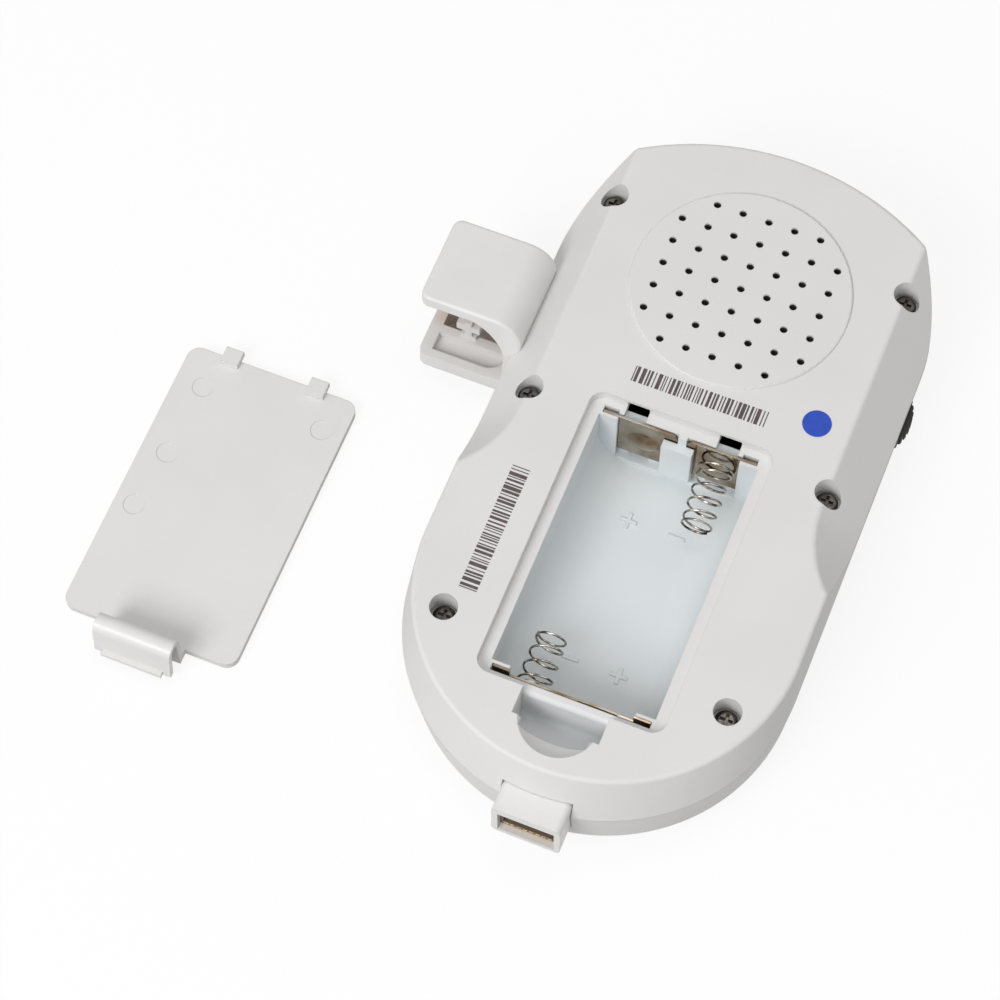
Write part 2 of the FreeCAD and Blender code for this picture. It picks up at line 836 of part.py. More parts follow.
def screw_towers():
    """Screw towers of the rear shell, kept inside the case."""
    towers = [cylinder(x, y, boss_top, case_height, boss_radius) for x, y in screw_points()]
    above = box(-far, far, -far, far, back_inner + tower_skin, case_height + far)
    inner = case_slice(split_height, back_inner + tower_skin + beyond, wall / 2.0 + lip_gap)
    inner = inner.cut(both_grips(tower_skin) + [above])
    return [tower.common(inner) for tower in towers]


def rear_shell():
    """Back half of the case, with grille, battery tray, latch pocket and screw towers."""
    shell = case_back_outside().cut(case_back_inside())
    shell = fuse_all([shell, grille_disc(), speaker_ring()] + screw_towers() + tray_outside()
                     + pocket_outside())
    shell = shell.cut(tray_inside() + pocket_inside())
    shell = shell.fuse([middle_block()] + polarity_marks())
    cuts = grille_holes()
    for x, y in screw_points():
        cuts.append(cylinder(x, y, screw_seat, case_height + beyond, screw_recess_radius))
        cuts.append(cylinder(x, y, boss_top - beyond, screw_seat + overlap,
                             screw_radius + screw_clearance))
    cuts.append(socket_opening())
    return shell.cut(cuts).removeSplitter()


# ---------------------------------------------------------------- openings shared by the shells
def socket_opening():
    """Gap in the bottom end of the case that the probe socket passes through."""
    half = socket_width / 2.0 + socket_gap
    return box(socket_x - half, socket_x + half, -far, socket_inner_y + beyond,
               socket_bottom - socket_gap, socket_top + socket_gap)


def clip_opening():
    """Notch in the left side of the front shell that the clip's tongue passes through."""
    half = tongue_half_length + tongue_gap
    return box(-far, beyond + wall - case_half_width, clip_middle_y - half, clip_middle_y + half,
               split_height - tongue_height - tongue_gap, split_height + lip_height + overlap)


# ---------------------------------------------------------------- front shell
def front_bosses():
    """Screw posts and the standoffs of the circuit board."""
    posts = [cylinder(x, y, wall, boss_top, boss_radius) for x, y in screw_points()]
    standoffs = [cylinder(x, y, wall, board_bottom, standoff_radius)
                 for x, y in board_screw_points()]
    return posts + standoffs


def window_cut(grow, z0, z1, corner):
    """Rounded block at the display window, grown on every side."""
    x = window_half_width + grow
    y = window_half_height + grow
    return rounded_box(-x, x, window_y - y, window_y + y, z0, z1, corner)


def front_shell():
    """Front half of the case, which the monitor lies on, with window and button holes."""
    outside = case_slice(0, split_height)
    outside = outside.makeFillet(front_fillet, edges_at(outside, 0))
    hollow = case_slice(panel_inner, split_height, wall)
    hollow = hollow.makeFillet(front_fillet - wall, edges_at(hollow, panel_inner))
    lip_top = split_height + lip_height
    lip = case_slice(split_height, lip_top, wall / 2.0 + lip_gap)
    lip = lip.cut(case_slice(split_height, lip_top, wall))
    shell = fuse_all([outside.cut(hollow), lip] + front_bosses())
    panel = between(outline(-beyond, front_side_draft, front_end_draft, panel_inset),
                    outline(panel_depth, front_side_draft, front_end_draft, panel_inset))
    cuts = [
        panel,
        window_cut(0.0, -beyond, panel_inner + beyond, window_corner),
        window_cut(lens_ledge, -beyond, panel_depth + lens_thickness, lens_corner),
    ]
    for _, x, y, radius in buttons:
        cuts.append(cylinder(x, y, -beyond, panel_inner + beyond, radius + button_gap))
    for x, y in screw_points():
        cuts.append(cylinder(x, y, wall + screw_hole_end, screw_seat, screw_radius - screw_pilot))
    for x, y in board_screw_points():
        cuts.append(cylinder(x, y, wall + standoff_hole_end, board_bottom + beyond,
                             board_screw_radius - screw_pilot))
    cuts += [socket_opening(), clip_opening(), wheel_slot(), jack_hole()]
    return shell.cut(cuts).removeSplitter()


def wheel_slot():
    """Slot in the right side wall that the thumbwheel looks out of."""
    inside = case_half_width - wall - wheel_slot_in
    reach = math.sqrt(wheel_radius ** 2 - (inside - wheel_x) ** 2) + 2 * wheel_slot_gap
    return box(inside - wheel_slot_in, far, wheel_y - reach, wheel_y + reach,
               wheel_bottom - wheel_slot_gap, split_height + lip_height + overlap)


def jack_centre():
    """Middle of the headphone jack's bore."""
    return board_top + jack_height / 2.0


def jack_hole():
    """Round hole in the top end of the front shell."""
    start = jack_wall_y() - wall - jack_setback
    return Part.makeCylinder(jack_nose_radius + jack_gap, far, Vector(jack_x, start, jack_centre()),
                             Vector(0, 1, 0))


# ---------------------------------------------------------------- battery door, seated
def door_plate():
    """Flat plate of the door with its two tabs."""
    end = seat_y + door_half_length
    plate = rounded_box(-door_half_width, door_half_width, seat_y - door_half_length, end,
                        door_inner, case_height, recess_corner - door_gap)
    plate = plate.makeFillet(door_edge_fillet, edges_at(plate, case_height))
    tabs = [
        box(side * tab_x - tab_width / 2, side * tab_x + tab_width / 2, end - tab_back,
            end + tab_reach, door_inner - tab_height, door_inner)
        for side in (-1, 1)
    ]
    return [plate] + tabs


def latch_bend_centre():
    """Middle of the latch's bend in the Y-Z plane."""
    return latch_outer_y() + latch_bend, door_inner - latch_depth + latch_bend


def latch_ring():
    """The bend, as wide as the latch, from the outer leg round to the slit."""
    y, z = latch_bend_centre()
    half = latch_width / 2.0
    ring = bar_along_x(half, y, z, latch_bend)
    ring = ring.cut(bar_along_x(half + beyond, y, z, latch_bend - latch_thickness))
    angle = math.radians(-latch_slit_deg)
    reach = 2.0 * latch_bend
    centre = Vector(-half - beyond, y, z)
    wedge = face_from([
        centre,
        centre + Vector(0, -reach, 0),
        centre + Vector(0, -reach, -reach),
        centre + Vector(0, reach * math.cos(angle), -reach),
        centre + Vector(0, reach * math.cos(angle), reach * math.sin(angle)),
    ])
    return ring.common(wedge.extrude(Vector(latch_width + 2.0 * beyond, 0, 0)))


def battery_door():
    """The door: plate, tabs, ejector-pin marks and the inner leg of the latch."""
    half = latch_width / 2.0
    end = seat_y - door_half_length
    inner = end - latch_foot
    top = case_height - door_edge_fillet
    leg = box(-half, half, inner - latch_thickness, inner, latch_bend_centre()[1], top)
    foot = box(-half, half, inner - latch_thickness, end + beyond, door_inner, top)
    door = fuse_all(door_plate() + [leg, foot])
    marks = [
        cylinder(x, seat_y + along, door_inner - beyond, door_inner + pin_mark_depth,
                 pin_mark_radius)
        for x, along in pin_marks
    ]
    return door.cut(marks)


def door_latch():
    """Outer leg of the latch, with the bend and the finger lip."""
    y, z = latch_bend_centre()
    half = latch_width / 2.0
    outer = y - latch_bend
    top = case_height - latch_top_gap
    tip = outer - latch_flare
    leg = face_from([
        Vector(-half, outer, z),
        Vector(-half, tip, top),
        Vector(-half, tip + latch_thickness, top),
        Vector(-half, outer + latch_thickness, z),
    ])
    leg = leg.extrude(Vector(latch_width, 0, 0))
    lip_half = latch_lip_width / 2.0
    lip = box(-lip_half, lip_half, tip - latch_lip, tip + latch_thickness / 2.0,
              top - latch_lip_height, top)
    return fuse_all([leg, lip, latch_ring()])


# ---------------------------------------------------------------- screws
def pan_screw(x, y, seat, length, radius, head_radius, head_height):
    """Pan-head screw pointing down, its head on a seat, with a cross recess."""
    top = seat + head_height
    head = cylinder(x, y, seat, top, head_radius)
    head = head.makeFillet(head_height * head_round, edges_at(head, top))
    shank = cylinder(x, y, seat - length + radius, seat + overlap, radius)
    tip = Part.makeCone(screw_tip_radius, radius, radius, Vector(x, y, seat - length))
    low = top - head_height * cross_depth
    long_side = 2.0 * head_radius * cross_reach
    short_side = 2.0 * head_radius * cross_half
    cross = [
        centred_box(x, y, long_side, short_side, low, top + beyond),
        centred_box(x, y, short_side, long_side, low, top + beyond),
    ]
    return fuse_all([head, shank, tip]).cut(cross)


def case_screws():
    """Six self-tapping screws that join the shells."""
    return Part.makeCompound([
        pan_screw(x, y, screw_seat, screw_length, screw_radius - screw_pilot,
                  screw_head_radius, screw_head_height)
        for x, y in screw_points()
    ])


def board_screws():
    """Four small screws that hold the circuit board to the front shell."""
    return Part.makeCompound([
        pan_screw(x, y, board_top, board_screw_length, board_screw_radius - screw_pilot,
                  board_screw_head_radius, board_screw_head)
        for x, y in board_screw_points()
    ])


# ---------------------------------------------------------------- speaker
def revolved(profile):
    """Solid of revolution about the speaker's axis, from radius and height pairs."""
    points = [Vector(radius, 0, height) for radius, height in profile]
    solid = face_from(points).revolve(Vector(0, 0, 0), Vector(0, 0, 1), 360.0)
    solid.translate(Vector(0, speaker_y, 0))
    return solid


def speaker_cloth():
    """Thin black cloth under the grille holes."""
    return cylinder(0, speaker_y, grille_inner - cloth_thickness, grille_inner, speaker_radius)


def speaker_gasket():
    """Foam ring between the cloth and the speaker."""
    top = speaker_front + gasket_thickness
    ring = cylinder(0, speaker_y, speaker_front, top, speaker_radius)
    return ring.cut(cylinder(0, speaker_y, 0, case_height, speaker_radius - gasket_width))


def speaker_frame():
    """Pressed steel basket: flange, tapering bowl and a flat seat for the magnet."""
    top = speaker_front
    flange = top - speaker_flange
    rim = speaker_radius - basket_rim
    foot = magnet_radius + basket_foot
    inner = magnet_radius - basket_seat
    return revolved([
        (inner, magnet_seat), (foot, magnet_seat), (rim, flange), (speaker_radius, flange),
        (speaker_radius, top), (rim - basket_sheet, top),
        (foot - basket_sheet / 2.0, magnet_seat + basket_sheet),
        (inner, magnet_seat + basket_sheet),
    ])


def speaker_magnet():
    """Magnet and pole piece under the basket."""
    magnet = cylinder(0, speaker_y, magnet_seat - magnet_height, magnet_seat, magnet_radius)
    pole = cylinder(0, speaker_y, magnet_seat - overlap, magnet_seat + pole_height, pole_radius)
    return fuse_all([magnet, pole])


def speaker_cone():
    """Paper cone with its dust cap and the surround that lies on the basket's flange."""
    seat = speaker_front
    edge = speaker_radius - cone_edge
    rim = speaker_radius - cone_rim
    deep = seat - cone_depth
    return revolved([
        (0, deep + cap_height), (cone_hub_radius, deep), (edge, seat), (rim, seat),
        (rim, seat + cone_skin), (edge, seat + cone_skin),
        (cone_hub_radius, deep + 2.0 * cone_skin), (0, deep + cap_height + cone_skin),
    ])


# ---------------------------------------------------------------- battery contacts
def dome(x, y, z, towards):
    """Low pressed dome on a contact plate, pointing along +Y or -Y."""
    radius = (dome_radius ** 2 + dome_height ** 2) / (2 * dome_height)
    ball = Part.makeSphere(radius, Vector(x, y - towards * (radius - dome_height), z))
    reach = dome_radius + beyond
    near, away = sorted((y, y + towards * reach))
    return ball.common(box(x - reach, x + reach, near, away, z - reach, z + reach))


def upper_contact(side, inner_x):
    """One upper plate in its slot: rounded inner corner, an end bent back into the wider
    end of the slot, and a lug through the wall behind it."""
    front = top_slot_y + plate_gap
    back = front + sheet
    outer_x = side * (tray_half_width - slot_side - plate_gap)
    x0, x1 = sorted((outer_x, inner_x))
    plate = box(x0, x1, front, back, plate_foot, plate_top)
    corner = [e for e in edges_at(plate, plate_top) if abs(e.CenterOfMass.x - inner_x) < overlap]
    plate = plate.makeFillet(plate_corner, corner)
    bent_x = side * (abs(outer_x) - end_pocket_length + 2.0 * plate_gap)
    x0, x1 = sorted((outer_x, bent_x))
    flange_top = ledge_height - flange_drop
    flange = box(x0, x1, front, top_slot_y + end_pocket - plate_gap, flange_top - sheet,
                 flange_top)
    middle = side * cell_x
    lug = box(middle - lug_half, middle + lug_half, back - overlap, tray_end_y + lug_end,
              lug_z - sheet / 2.0, lug_z + sheet / 2.0)
    return [plate, flange, lug]


def positive_contact():
    """Upper left contact, with the dome that meets a cell's cap."""
    shapes = upper_contact(-1, web_left - plate_gap)
    shapes.append(dome(dome_in - cell_x, top_slot_y + plate_gap + overlap, cell_z + dome_rise, -1))
    return fuse_all(shapes)


def negative_contact():
    """Upper right contact, the plate that carries the upper spring."""
    return fuse_all(upper_contact(1, web_right + plate_gap))


def bridge_front_y():
    """Inner face of the lower plate, which stands against its guides."""
    return bottom_slot_y + bottom_slot - bridge_gap


def bridge_contact():
    """Lower contact that joins the two cells: tall ends behind the guides, a lower middle
    with a raised part, and a dome on its right side."""
    front = bridge_front_y()
    back = front - sheet
    low = tray_floor + bridge_foot
    middle_top = ledge_height - bridge_drop
    reach = tray_half_width - slot_side - plate_gap
    ends = opening_half_width - plate_gap
    return fuse_all([
        box(-reach, reach, back, front, low, middle_top),
        box(-reach, -ends, back, front, low, plate_top),
        box(ends, reach, back, front, low, plate_top),
        box(bridge_step_left, bridge_step_right, back, front, low, middle_top + bridge_step),
        dome(cell_x - dome_in, front - overlap, cell_z + dome_rise, 1),
    ])


def spring_path(length, radius, end_radius, turns, end_deg):
    """Middle line of a narrowing spring along +Z whose end turns lie closed."""
    flat = 2.0 * spring_wire + spring_gap
    open_turns = turns - 2.0 * spring_closed
    pitch = (length - 2.0 * spring_closed * flat) / open_turns
    count = int(round(turns * spring_steps))
    points = []
    for step in range(count + 1):
        turn = turns * step / count
        rising = min(max(turn - spring_closed, 0.0), open_turns)
        height = pitch * rising + flat * (turn - rising)
        reach = radius + (end_radius - radius) * turn / turns
        angle = math.radians(end_deg) + 2.0 * math.pi * (turn - turns)
        points.append(Vector(reach * math.cos(angle), reach * math.sin(angle), height))
    curve = Part.BSplineCurve()
    curve.interpolate(points)
    return curve.toShape()


def coil_spring(path, root, towards, lean_deg, drop_deg):
    """Round wire swept along a path, turned to +Y or -Y and set on its root; its free end
    leans sideways and sags."""
    start = path.valueAt(path.FirstParameter)
    heading = path.tangentAt(path.FirstParameter)
    section = Part.Wire([Part.makeCircle(spring_wire, start, heading)])
    wire = Part.Wire([path]).makePipeShell([section], True, True)
    origin = Vector(0, 0, 0)
    wire.rotate(origin, Vector(1, 0, 0), -towards * (90.0 + drop_deg))
    wire.rotate(origin, Vector(0, 0, 1), lean_deg)
    wire.translate(root)
    return wire


def spring_standoff(radius, lean_deg, drop_deg):
    """From a plate to the middle of a spring's root, so that its first turn just clears."""
    tilt = math.sin(math.radians(lean_deg)) + math.sin(math.radians(drop_deg))
    return spring_wire + radius * tilt + spring_gap


def upper_spring():
    """Spring on the upper right contact, reaching down the compartment."""
    path = spring_path(top_spring_length, top_spring_radius, top_spring_end_radius,
                       top_spring_turns, top_spring_end_deg)
    standoff = spring_standoff(top_spring_radius, top_spring_lean, top_spring_drop)
    root = Vector(cell_x, top_slot_y + plate_gap - standoff, cell_z + top_spring_rise)
    return coil_spring(path, root, -1, top_spring_lean, top_spring_drop)


def lower_spring():
    """Spring on the left of the lower contact."""
    path = spring_path(bottom_spring_length, bottom_spring_radius, bottom_spring_end_radius,
                       bottom_spring_turns, bottom_spring_end_deg)
    standoff = spring_standoff(bottom_spring_radius, bottom_spring_lean, 0.0)
    root = Vector(-cell_x, bridge_front_y() + standoff, cell_z + bottom_spring_rise)
    return coil_spring(path, root, 1, bottom_spring_lean, 0.0)


# ---------------------------------------------------------------- clip and socket
def clip_block():
    """Outer form of the clip: its front leans forward to the shelf, and a keel under its
    back part holds the well."""
    face = face_from([
        Vector(clip_left, clip_shelf_y, clip_bottom),
        Vector(clip_left, clip_front_y, case_height),
        Vector(clip_left, clip_back_y, case_height),
        Vector(clip_left, clip_back_y, clip_bottom),
    ])
    block = face.extrude(Vector(clip_right - clip_left, 0, 0))
    corner = [e for e in block.Edges
              if e.BoundBox.XMax < clip_left + overlap and e.BoundBox.ZLength > clip_corner]
    block = block.makeFillet(clip_corner, corner)
    long_edge = [e for e in edges_at(block, case_height)
                 if e.BoundBox.XMin > clip_right - overlap]
    block = block.makeFillet(clip_round, long_edge)
    rim = [e for e in edges_at(block, case_height)
           if e.BoundBox.XMax < clip_right - clip_round + overlap]
    block = block.makeFillet(clip_edge, rim)
    keel = box(clip_left, clip_right, clip_keel_y, clip_back_y, clip_bottom - clip_keel,
               clip_bottom + overlap)
    far_side = [e for e in upright_edges(keel) if e.BoundBox.XMax < clip_left + overlap]
    return block.fuse(keel.makeFillet(clip_corner, far_side))


def clip_mouth():
    """The mouth, open to the front and to the far side: flat floor and roof, the roof
    curving down on the side of the case."""
    left = clip_left - beyond
    front = clip_shelf_y - beyond
    run = clip_mouth_right - clip_arch_x
    low = clip_roof - clip_arch_drop

    def at(x, z):
        return Vector(x, front, z)

    share = math.sqrt(0.5)
    edges = [
        Part.LineSegment(at(left, clip_floor), at(left, clip_roof)),
        Part.LineSegment(at(left, clip_roof), at(clip_arch_x, clip_roof)),
        Part.Arc(at(clip_arch_x, clip_roof),
                 at(clip_arch_x + run * share, low + clip_arch_drop * share),
                 at(clip_mouth_right, low)),
        Part.LineSegment(at(clip_mouth_right, low), at(clip_mouth_right, clip_floor)),
        Part.LineSegment(at(clip_mouth_right, clip_floor), at(left, clip_floor)),
    ]
    face = Part.Face(Part.Wire([e.toShape() for e in edges]))
    return face.extrude(Vector(0, clip_inner_y - front, 0))


def clip_hollows():
    """The dish in the shelf, rounded at its front corner, and the well behind the sill."""
    over = clip_floor + overlap
    rim_x = clip_left + clip_rim
    dish_right = clip_mouth_right - clip_dish_in
    dish = box(rim_x, dish_right, clip_dish_front_y, clip_dish_back_y,
               clip_floor - clip_dish_depth, over)
    corner = [e for e in upright_edges(dish) if e.BoundBox.XMin > dish_right - overlap
              and e.BoundBox.YMax < clip_dish_front_y + overlap]
    well = box(rim_x, clip_mouth_right - clip_well_in, clip_sill_back_y, clip_inner_y,
               clip_bottom - clip_keel + clip_well_floor, over)
    return [dish.makeFillet(clip_dish_round, corner), well]


def clip_rib():
    """Cross-shaped rib that runs from the sill to the back wall."""
    back = clip_inner_y + overlap
    low = clip_floor - overlap
    arm_low = clip_floor + clip_rib_arm_rise
    sizes = (
        (clip_rib_width, low, clip_floor + clip_rib_height),
        (clip_rib_base, low, clip_floor + clip_rib_base_height),
        (clip_rib_arm, arm_low, arm_low + clip_rib_arm_thickness),
    )
    return [box(clip_rib_x - width / 2.0, clip_rib_x + width / 2.0, clip_rib_front_y, back, z0, z1)
            for width, z0, z1 in sizes]


def clip_tongue():
    """Tongue through the side of the case, with a hook behind the wall."""
    low = split_height - tongue_height
    high = split_height - tongue_gap
    hook_x = wall - case_half_width + draft_at(low)[0] + hook_gap
    start = clip_middle_y - tongue_half_length
    end = clip_middle_y + tongue_half_length
    tongue = box(-case_half_width - tray_wall / 2.0, hook_x + overlap, start, end, low, high)
    hook = box(hook_x, hook_x + hook_thickness, start - hook_reach, end + hook_reach, low, high)
    return [tongue, hook]


def probe_clip():
    """Side clip that parks the probe: roof, shelf with its dish, well, rib and tongue."""
    case = case_slice(0, split_height).fuse(case_back_outside())
    block = clip_block().cut([case, clip_mouth()] + clip_hollows())
    return fuse_all([block] + clip_rib() + clip_tongue())


def probe_socket():
    """Ivory hood at the bottom end: a rectangular mouth, a flange inside the case."""
    half = socket_width / 2.0
    hood = box(socket_x - half, socket_x + half, socket_end_y, socket_inner_y, socket_bottom,
               socket_top)
    lengthwise = [e for e in hood.Edges if abs(e.tangentAt(e.FirstParameter).y) > 0.99]
    hood = hood.makeFillet(socket_round, lengthwise)
    flange = box(socket_x - half - socket_flange, socket_x + half + socket_flange,
                 socket_inner_y - overlap, socket_inner_y + socket_flange_depth,
                 socket_bottom - socket_flange_low, socket_top - socket_flange_top)
    return fuse_all([hood, flange]).cut(socket_mouth(beyond))


def socket_mouth(front=0.0):
    """Space of the hood's mouth, run out past its front edge."""
    half = socket_mouth_width / 2.0
    return box(socket_x - half, socket_x + half, socket_end_y - front,
               socket_end_y + socket_mouth_depth, socket_mouth_bottom,
               socket_mouth_bottom + socket_mouth_height)


def blade_boxes():
    """Row of flat contact blades along the foot of the connector."""
    start = socket_end_y + insert_setback
    end = socket_end_y + socket_mouth_depth - insert_side
    z = socket_mouth_bottom + blade_rise
    first = socket_x - blade_pitch * (blade_count - 1) / 2.0
    half = blade_width / 2.0
    return [
        box(first + index * blade_pitch - half, first + index * blade_pitch + half,
            start - blade_proud, end, z, z + blade_thickness)
        for index in range(blade_count)
    ]


def socket_insert():
    """Dark connector housing in the mouth, with the slot for the plug."""
    half = socket_mouth_width / 2.0 - insert_gap
    front = socket_end_y + insert_setback
    top = socket_mouth_bottom + socket_mouth_height - insert_gap
    housing = box(socket_x - half, socket_x + half, front, socket_end_y + socket_mouth_depth,
                  socket_mouth_bottom, top)
    inner = half - insert_side
    slot = box(socket_x - inner, socket_x + inner, front - beyond, front + insert_depth,
               socket_mouth_bottom + insert_floor, top - insert_side)
    return housing.cut([slot] + blade_boxes())


def socket_blades():
    """The connector's contact blades."""
    return Part.makeCompound(blade_boxes())


# ---------------------------------------------------------------- thumbwheel
def volume_wheel():
    """Black thumbwheel with a notched rim."""
    top = wheel_bottom + wheel_thickness
    wheel = cylinder(wheel_x, wheel_y, wheel_bottom, top, wheel_radius)
    notches = []
    for index in range(wheel_notches):
        angle = 2 * math.pi * index / wheel_notches
        x = wheel_x + wheel_radius * math.cos(angle)
        y = wheel_y + wheel_radius * math.sin(angle)
        notches.append(cylinder(x, y, wheel_bottom - beyond, top + beyond, wheel_notch_radius))
    bore = cylinder(wheel_x, wheel_y, wheel_bottom - beyond, top + beyond, pot_shaft_radius)
    return wheel.cut(notches + [bore])


def pot_shaft():
    """Shaft of the volume control, turning with the wheel."""
    return cylinder(wheel_x, wheel_y, board_top + pot_floor + pot_end_gap,
                    wheel_bottom + wheel_thickness, pot_shaft_radius)


def pot_body():
    """Housing of the volume control on the board's ear."""
    top = board_top + pot_height
    body = centred_box(wheel_x, wheel_y, pot_size, pot_size, board_top, top)
    return body.cut(cylinder(wheel_x, wheel_y, board_top + pot_floor, top + beyond,
                             pot_shaft_radius + pot_running_gap))


# ---------------------------------------------------------------- front pieces
def front_overlay():
    """Printed film over the front panel, open at the window and the buttons."""
    inset = panel_inset + overlay_gap
    film = between(outline(panel_depth - overlay_thickness, front_side_draft, front_end_draft,
                           inset),
                   outline(panel_depth, front_side_draft, front_end_draft, inset))
    over = panel_depth + beyond
    cuts = [window_cut(lens_ledge, -beyond, over, lens_corner)]
    for _, x, y, radius in buttons:
        cuts.append(cylinder(x, y, -beyond, over, radius + button_gap + overlay_hole_gap))
    return film.cut(cuts)


def display_window():
    """Clear window in its ledge in the front shell."""
    return window_cut(lens_ledge - lens_gap, panel_depth, panel_depth + lens_thickness,
                      lens_corner - lens_gap)


def display_layer(bottom, thickness):
    """One flat layer of the display, a little larger than its window."""
    return centred_box(0, window_y, 2.0 * (window_half_width + glass_side),
                       2.0 * (window_half_height + glass_end), bottom, bottom + thickness)


def display_glass():
    """Liquid crystal glass behind the window."""
    return display_layer(panel_inner, glass_thickness)


def display_backlight():
    """Backlight tray between the glass and the board."""
    return display_layer(glass_top, backlight_thickness)


def button(x, y, radius):
    """Button cap with a dished face and a flange that keeps it in the shell."""
    bottom = panel_inner + button_seat_gap
    stem = cylinder(x, y, button_below, bottom + overlap, radius)
    stem = stem.makeFillet(button_edge, edges_at(stem, button_below))
    flange = cylinder(x, y, bottom, bottom + button_flange_thickness, radius + button_flange)
    ball_radius = (radius * radius * 0.5 + button_dish ** 2) / (2 * button_dish)
    ball = Part.makeSphere(ball_radius, Vector(x, y, button_below + button_dish - ball_radius))
    return fuse_all([stem, flange]).cut(ball)


def tact_switches():
    """One small switch under the board for each button."""
    switches = []
    pressed = panel_inner + button_seat_gap + button_flange_thickness + button_travel
    low = board_bottom - switch_body
    for _, x, y, _ in buttons:
        body = centred_box(x, y, switch_size, switch_size, low, board_bottom)
        plunger = cylinder(x, y, pressed + switch_air, low + overlap, switch_plunger_radius)
        switches.append(fuse_all([body, plunger]))
    return Part.makeCompound(switches)


# ---------------------------------------------------------------- board and what it carries
def main_board():
    """Circuit board with an ear for the volume control and holes for its screws."""
    bevel = board_chamfer
    x = board_half_width
    y0 = board_bottom_y
    y1 = board_top_y
    ear_low = wheel_y - board_ear_half
    ear_high = wheel_y + board_ear_half
    corners = (
        (bevel - x, y0), (x - bevel, y0), (x, y0 + bevel), (x, ear_low), (board_ear_x, ear_low),
        (board_ear_x, ear_high), (x, ear_high), (x, y1 - bevel), (x - bevel, y1),
        (bevel - x, y1), (-x, y1 - bevel), (-x, y0 + bevel),
    )
    board = face_from([Vector(px, py, board_bottom) for px, py in corners])
    board = board.extrude(Vector(0, 0, board_thickness))
    return board.cut([cylinder(px, py, board_bottom - beyond, board_top + beyond,
                               board_screw_radius + board_hole_gap)
                      for px, py in board_screw_points()])


def board_parts():
    """Chips and capacitors on the back of the board, under the speaker."""
    chips = [centred_box(x, y, width, depth, board_top, board_top + height)
             for x, y, width, depth, height in chip_places]
    cans = [cylinder(x, y, board_top, board_top + can_height, can_radius) for x, y in can_places]
    return Part.makeCompound(chips + cans)


def headphone_jack():
    """Headphone jack on the board, its nose in the top end of the front shell."""
    half = jack_width / 2.0
    middle = jack_centre()
    nose_y = jack_wall_y() - jack_inset
    shoulder = nose_y - wall - jack_setback
    top = board_top + jack_height
    body = box(jack_x - half, jack_x + half, shoulder - jack_length, shoulder, board_top, top)
    nose = Part.makeCylinder(jack_nose_radius, nose_y - shoulder + overlap,
                             Vector(jack_x, shoulder - overlap, middle), Vector(0, 1, 0))
    bore = Part.makeCylinder(jack_bore_radius, jack_bore_depth + beyond,
                             Vector(jack_x, nose_y - jack_bore_depth, middle), Vector(0, 1, 0))
    return fuse_all([body, nose]).cut(bore)


def jack_wall_y():
    """Outer face of the case's top end where the jack comes out."""
    sagitta = case_top_y - top_corner_y
    radius = (top_corner_x ** 2 + sagitta ** 2) / (2 * sagitta)
    return case_top_y - radius + math.sqrt(radius ** 2 - jack_x ** 2)


def bent_lead(points):
    """Insulated lead along straight runs joined by tangent arcs."""
    edges = []
    here = points[0]
    for index in range(1, len(points) - 1):
        corner = points[index]
        back = points[index - 1] - corner
        ahead = points[index + 1] - corner
        turn = math.pi - back.getAngle(ahead)
        run = 0.45 * min(back.Length, ahead.Length)
        radius = run / math.tan(turn / 2.0)
        back.normalize()
        ahead.normalize()
        first = corner + back * run
        last = corner + ahead * run
        inward = back + ahead
        inward.normalize()
        middle = corner + inward * (math.hypot(radius, run) - radius)
        edges.append(Part.LineSegment(here, first).toShape())
        edges.append(Part.Arc(first, middle, last).toShape())
        here = last
    edges.append(Part.LineSegment(here, points[-1]).toShape())
    path = Part.Wire(edges)
    section = Part.Wire([Part.makeCircle(lead_radius, points[0], points[1] - points[0])])
    return path.makePipeShell([section], True, True)


def battery_leads():
    """Two leads from the upper contacts' lugs to the board."""
    start = tray_end_y + lug_end
    return Part.makeCompound([
        bent_lead([
            Vector(x, start, lug_z),
            Vector(x, start + lead_run, lug_z),
            Vector(x, start + lead_run, board_top),
        ])
        for x in (-cell_x, cell_x)
    ])


def speaker_leads():
    """Two thin leads from the speaker's rim down to the board."""
    rim_z = speaker_front - speaker_flange - lead_gap
    low_z = rim_z - speaker_lead_drop
    y = speaker_y - speaker_radius + speaker_lead_in
    return Part.makeCompound([
        bent_lead([
            Vector(x, y, rim_z),
            Vector(x, y, low_z),
            Vector(x, y - speaker_lead_back, low_z - speaker_lead_slant),
            Vector(x, y - speaker_lead_back, board_top),
        ])
        for x in (-speaker_lead_x, speaker_lead_x)
    ])


def blue_disc():
    """Plain blue disc stuck on the back face."""
    return cylinder(disc_x, disc_y, case_height, case_height + disc_thickness, disc_radius)


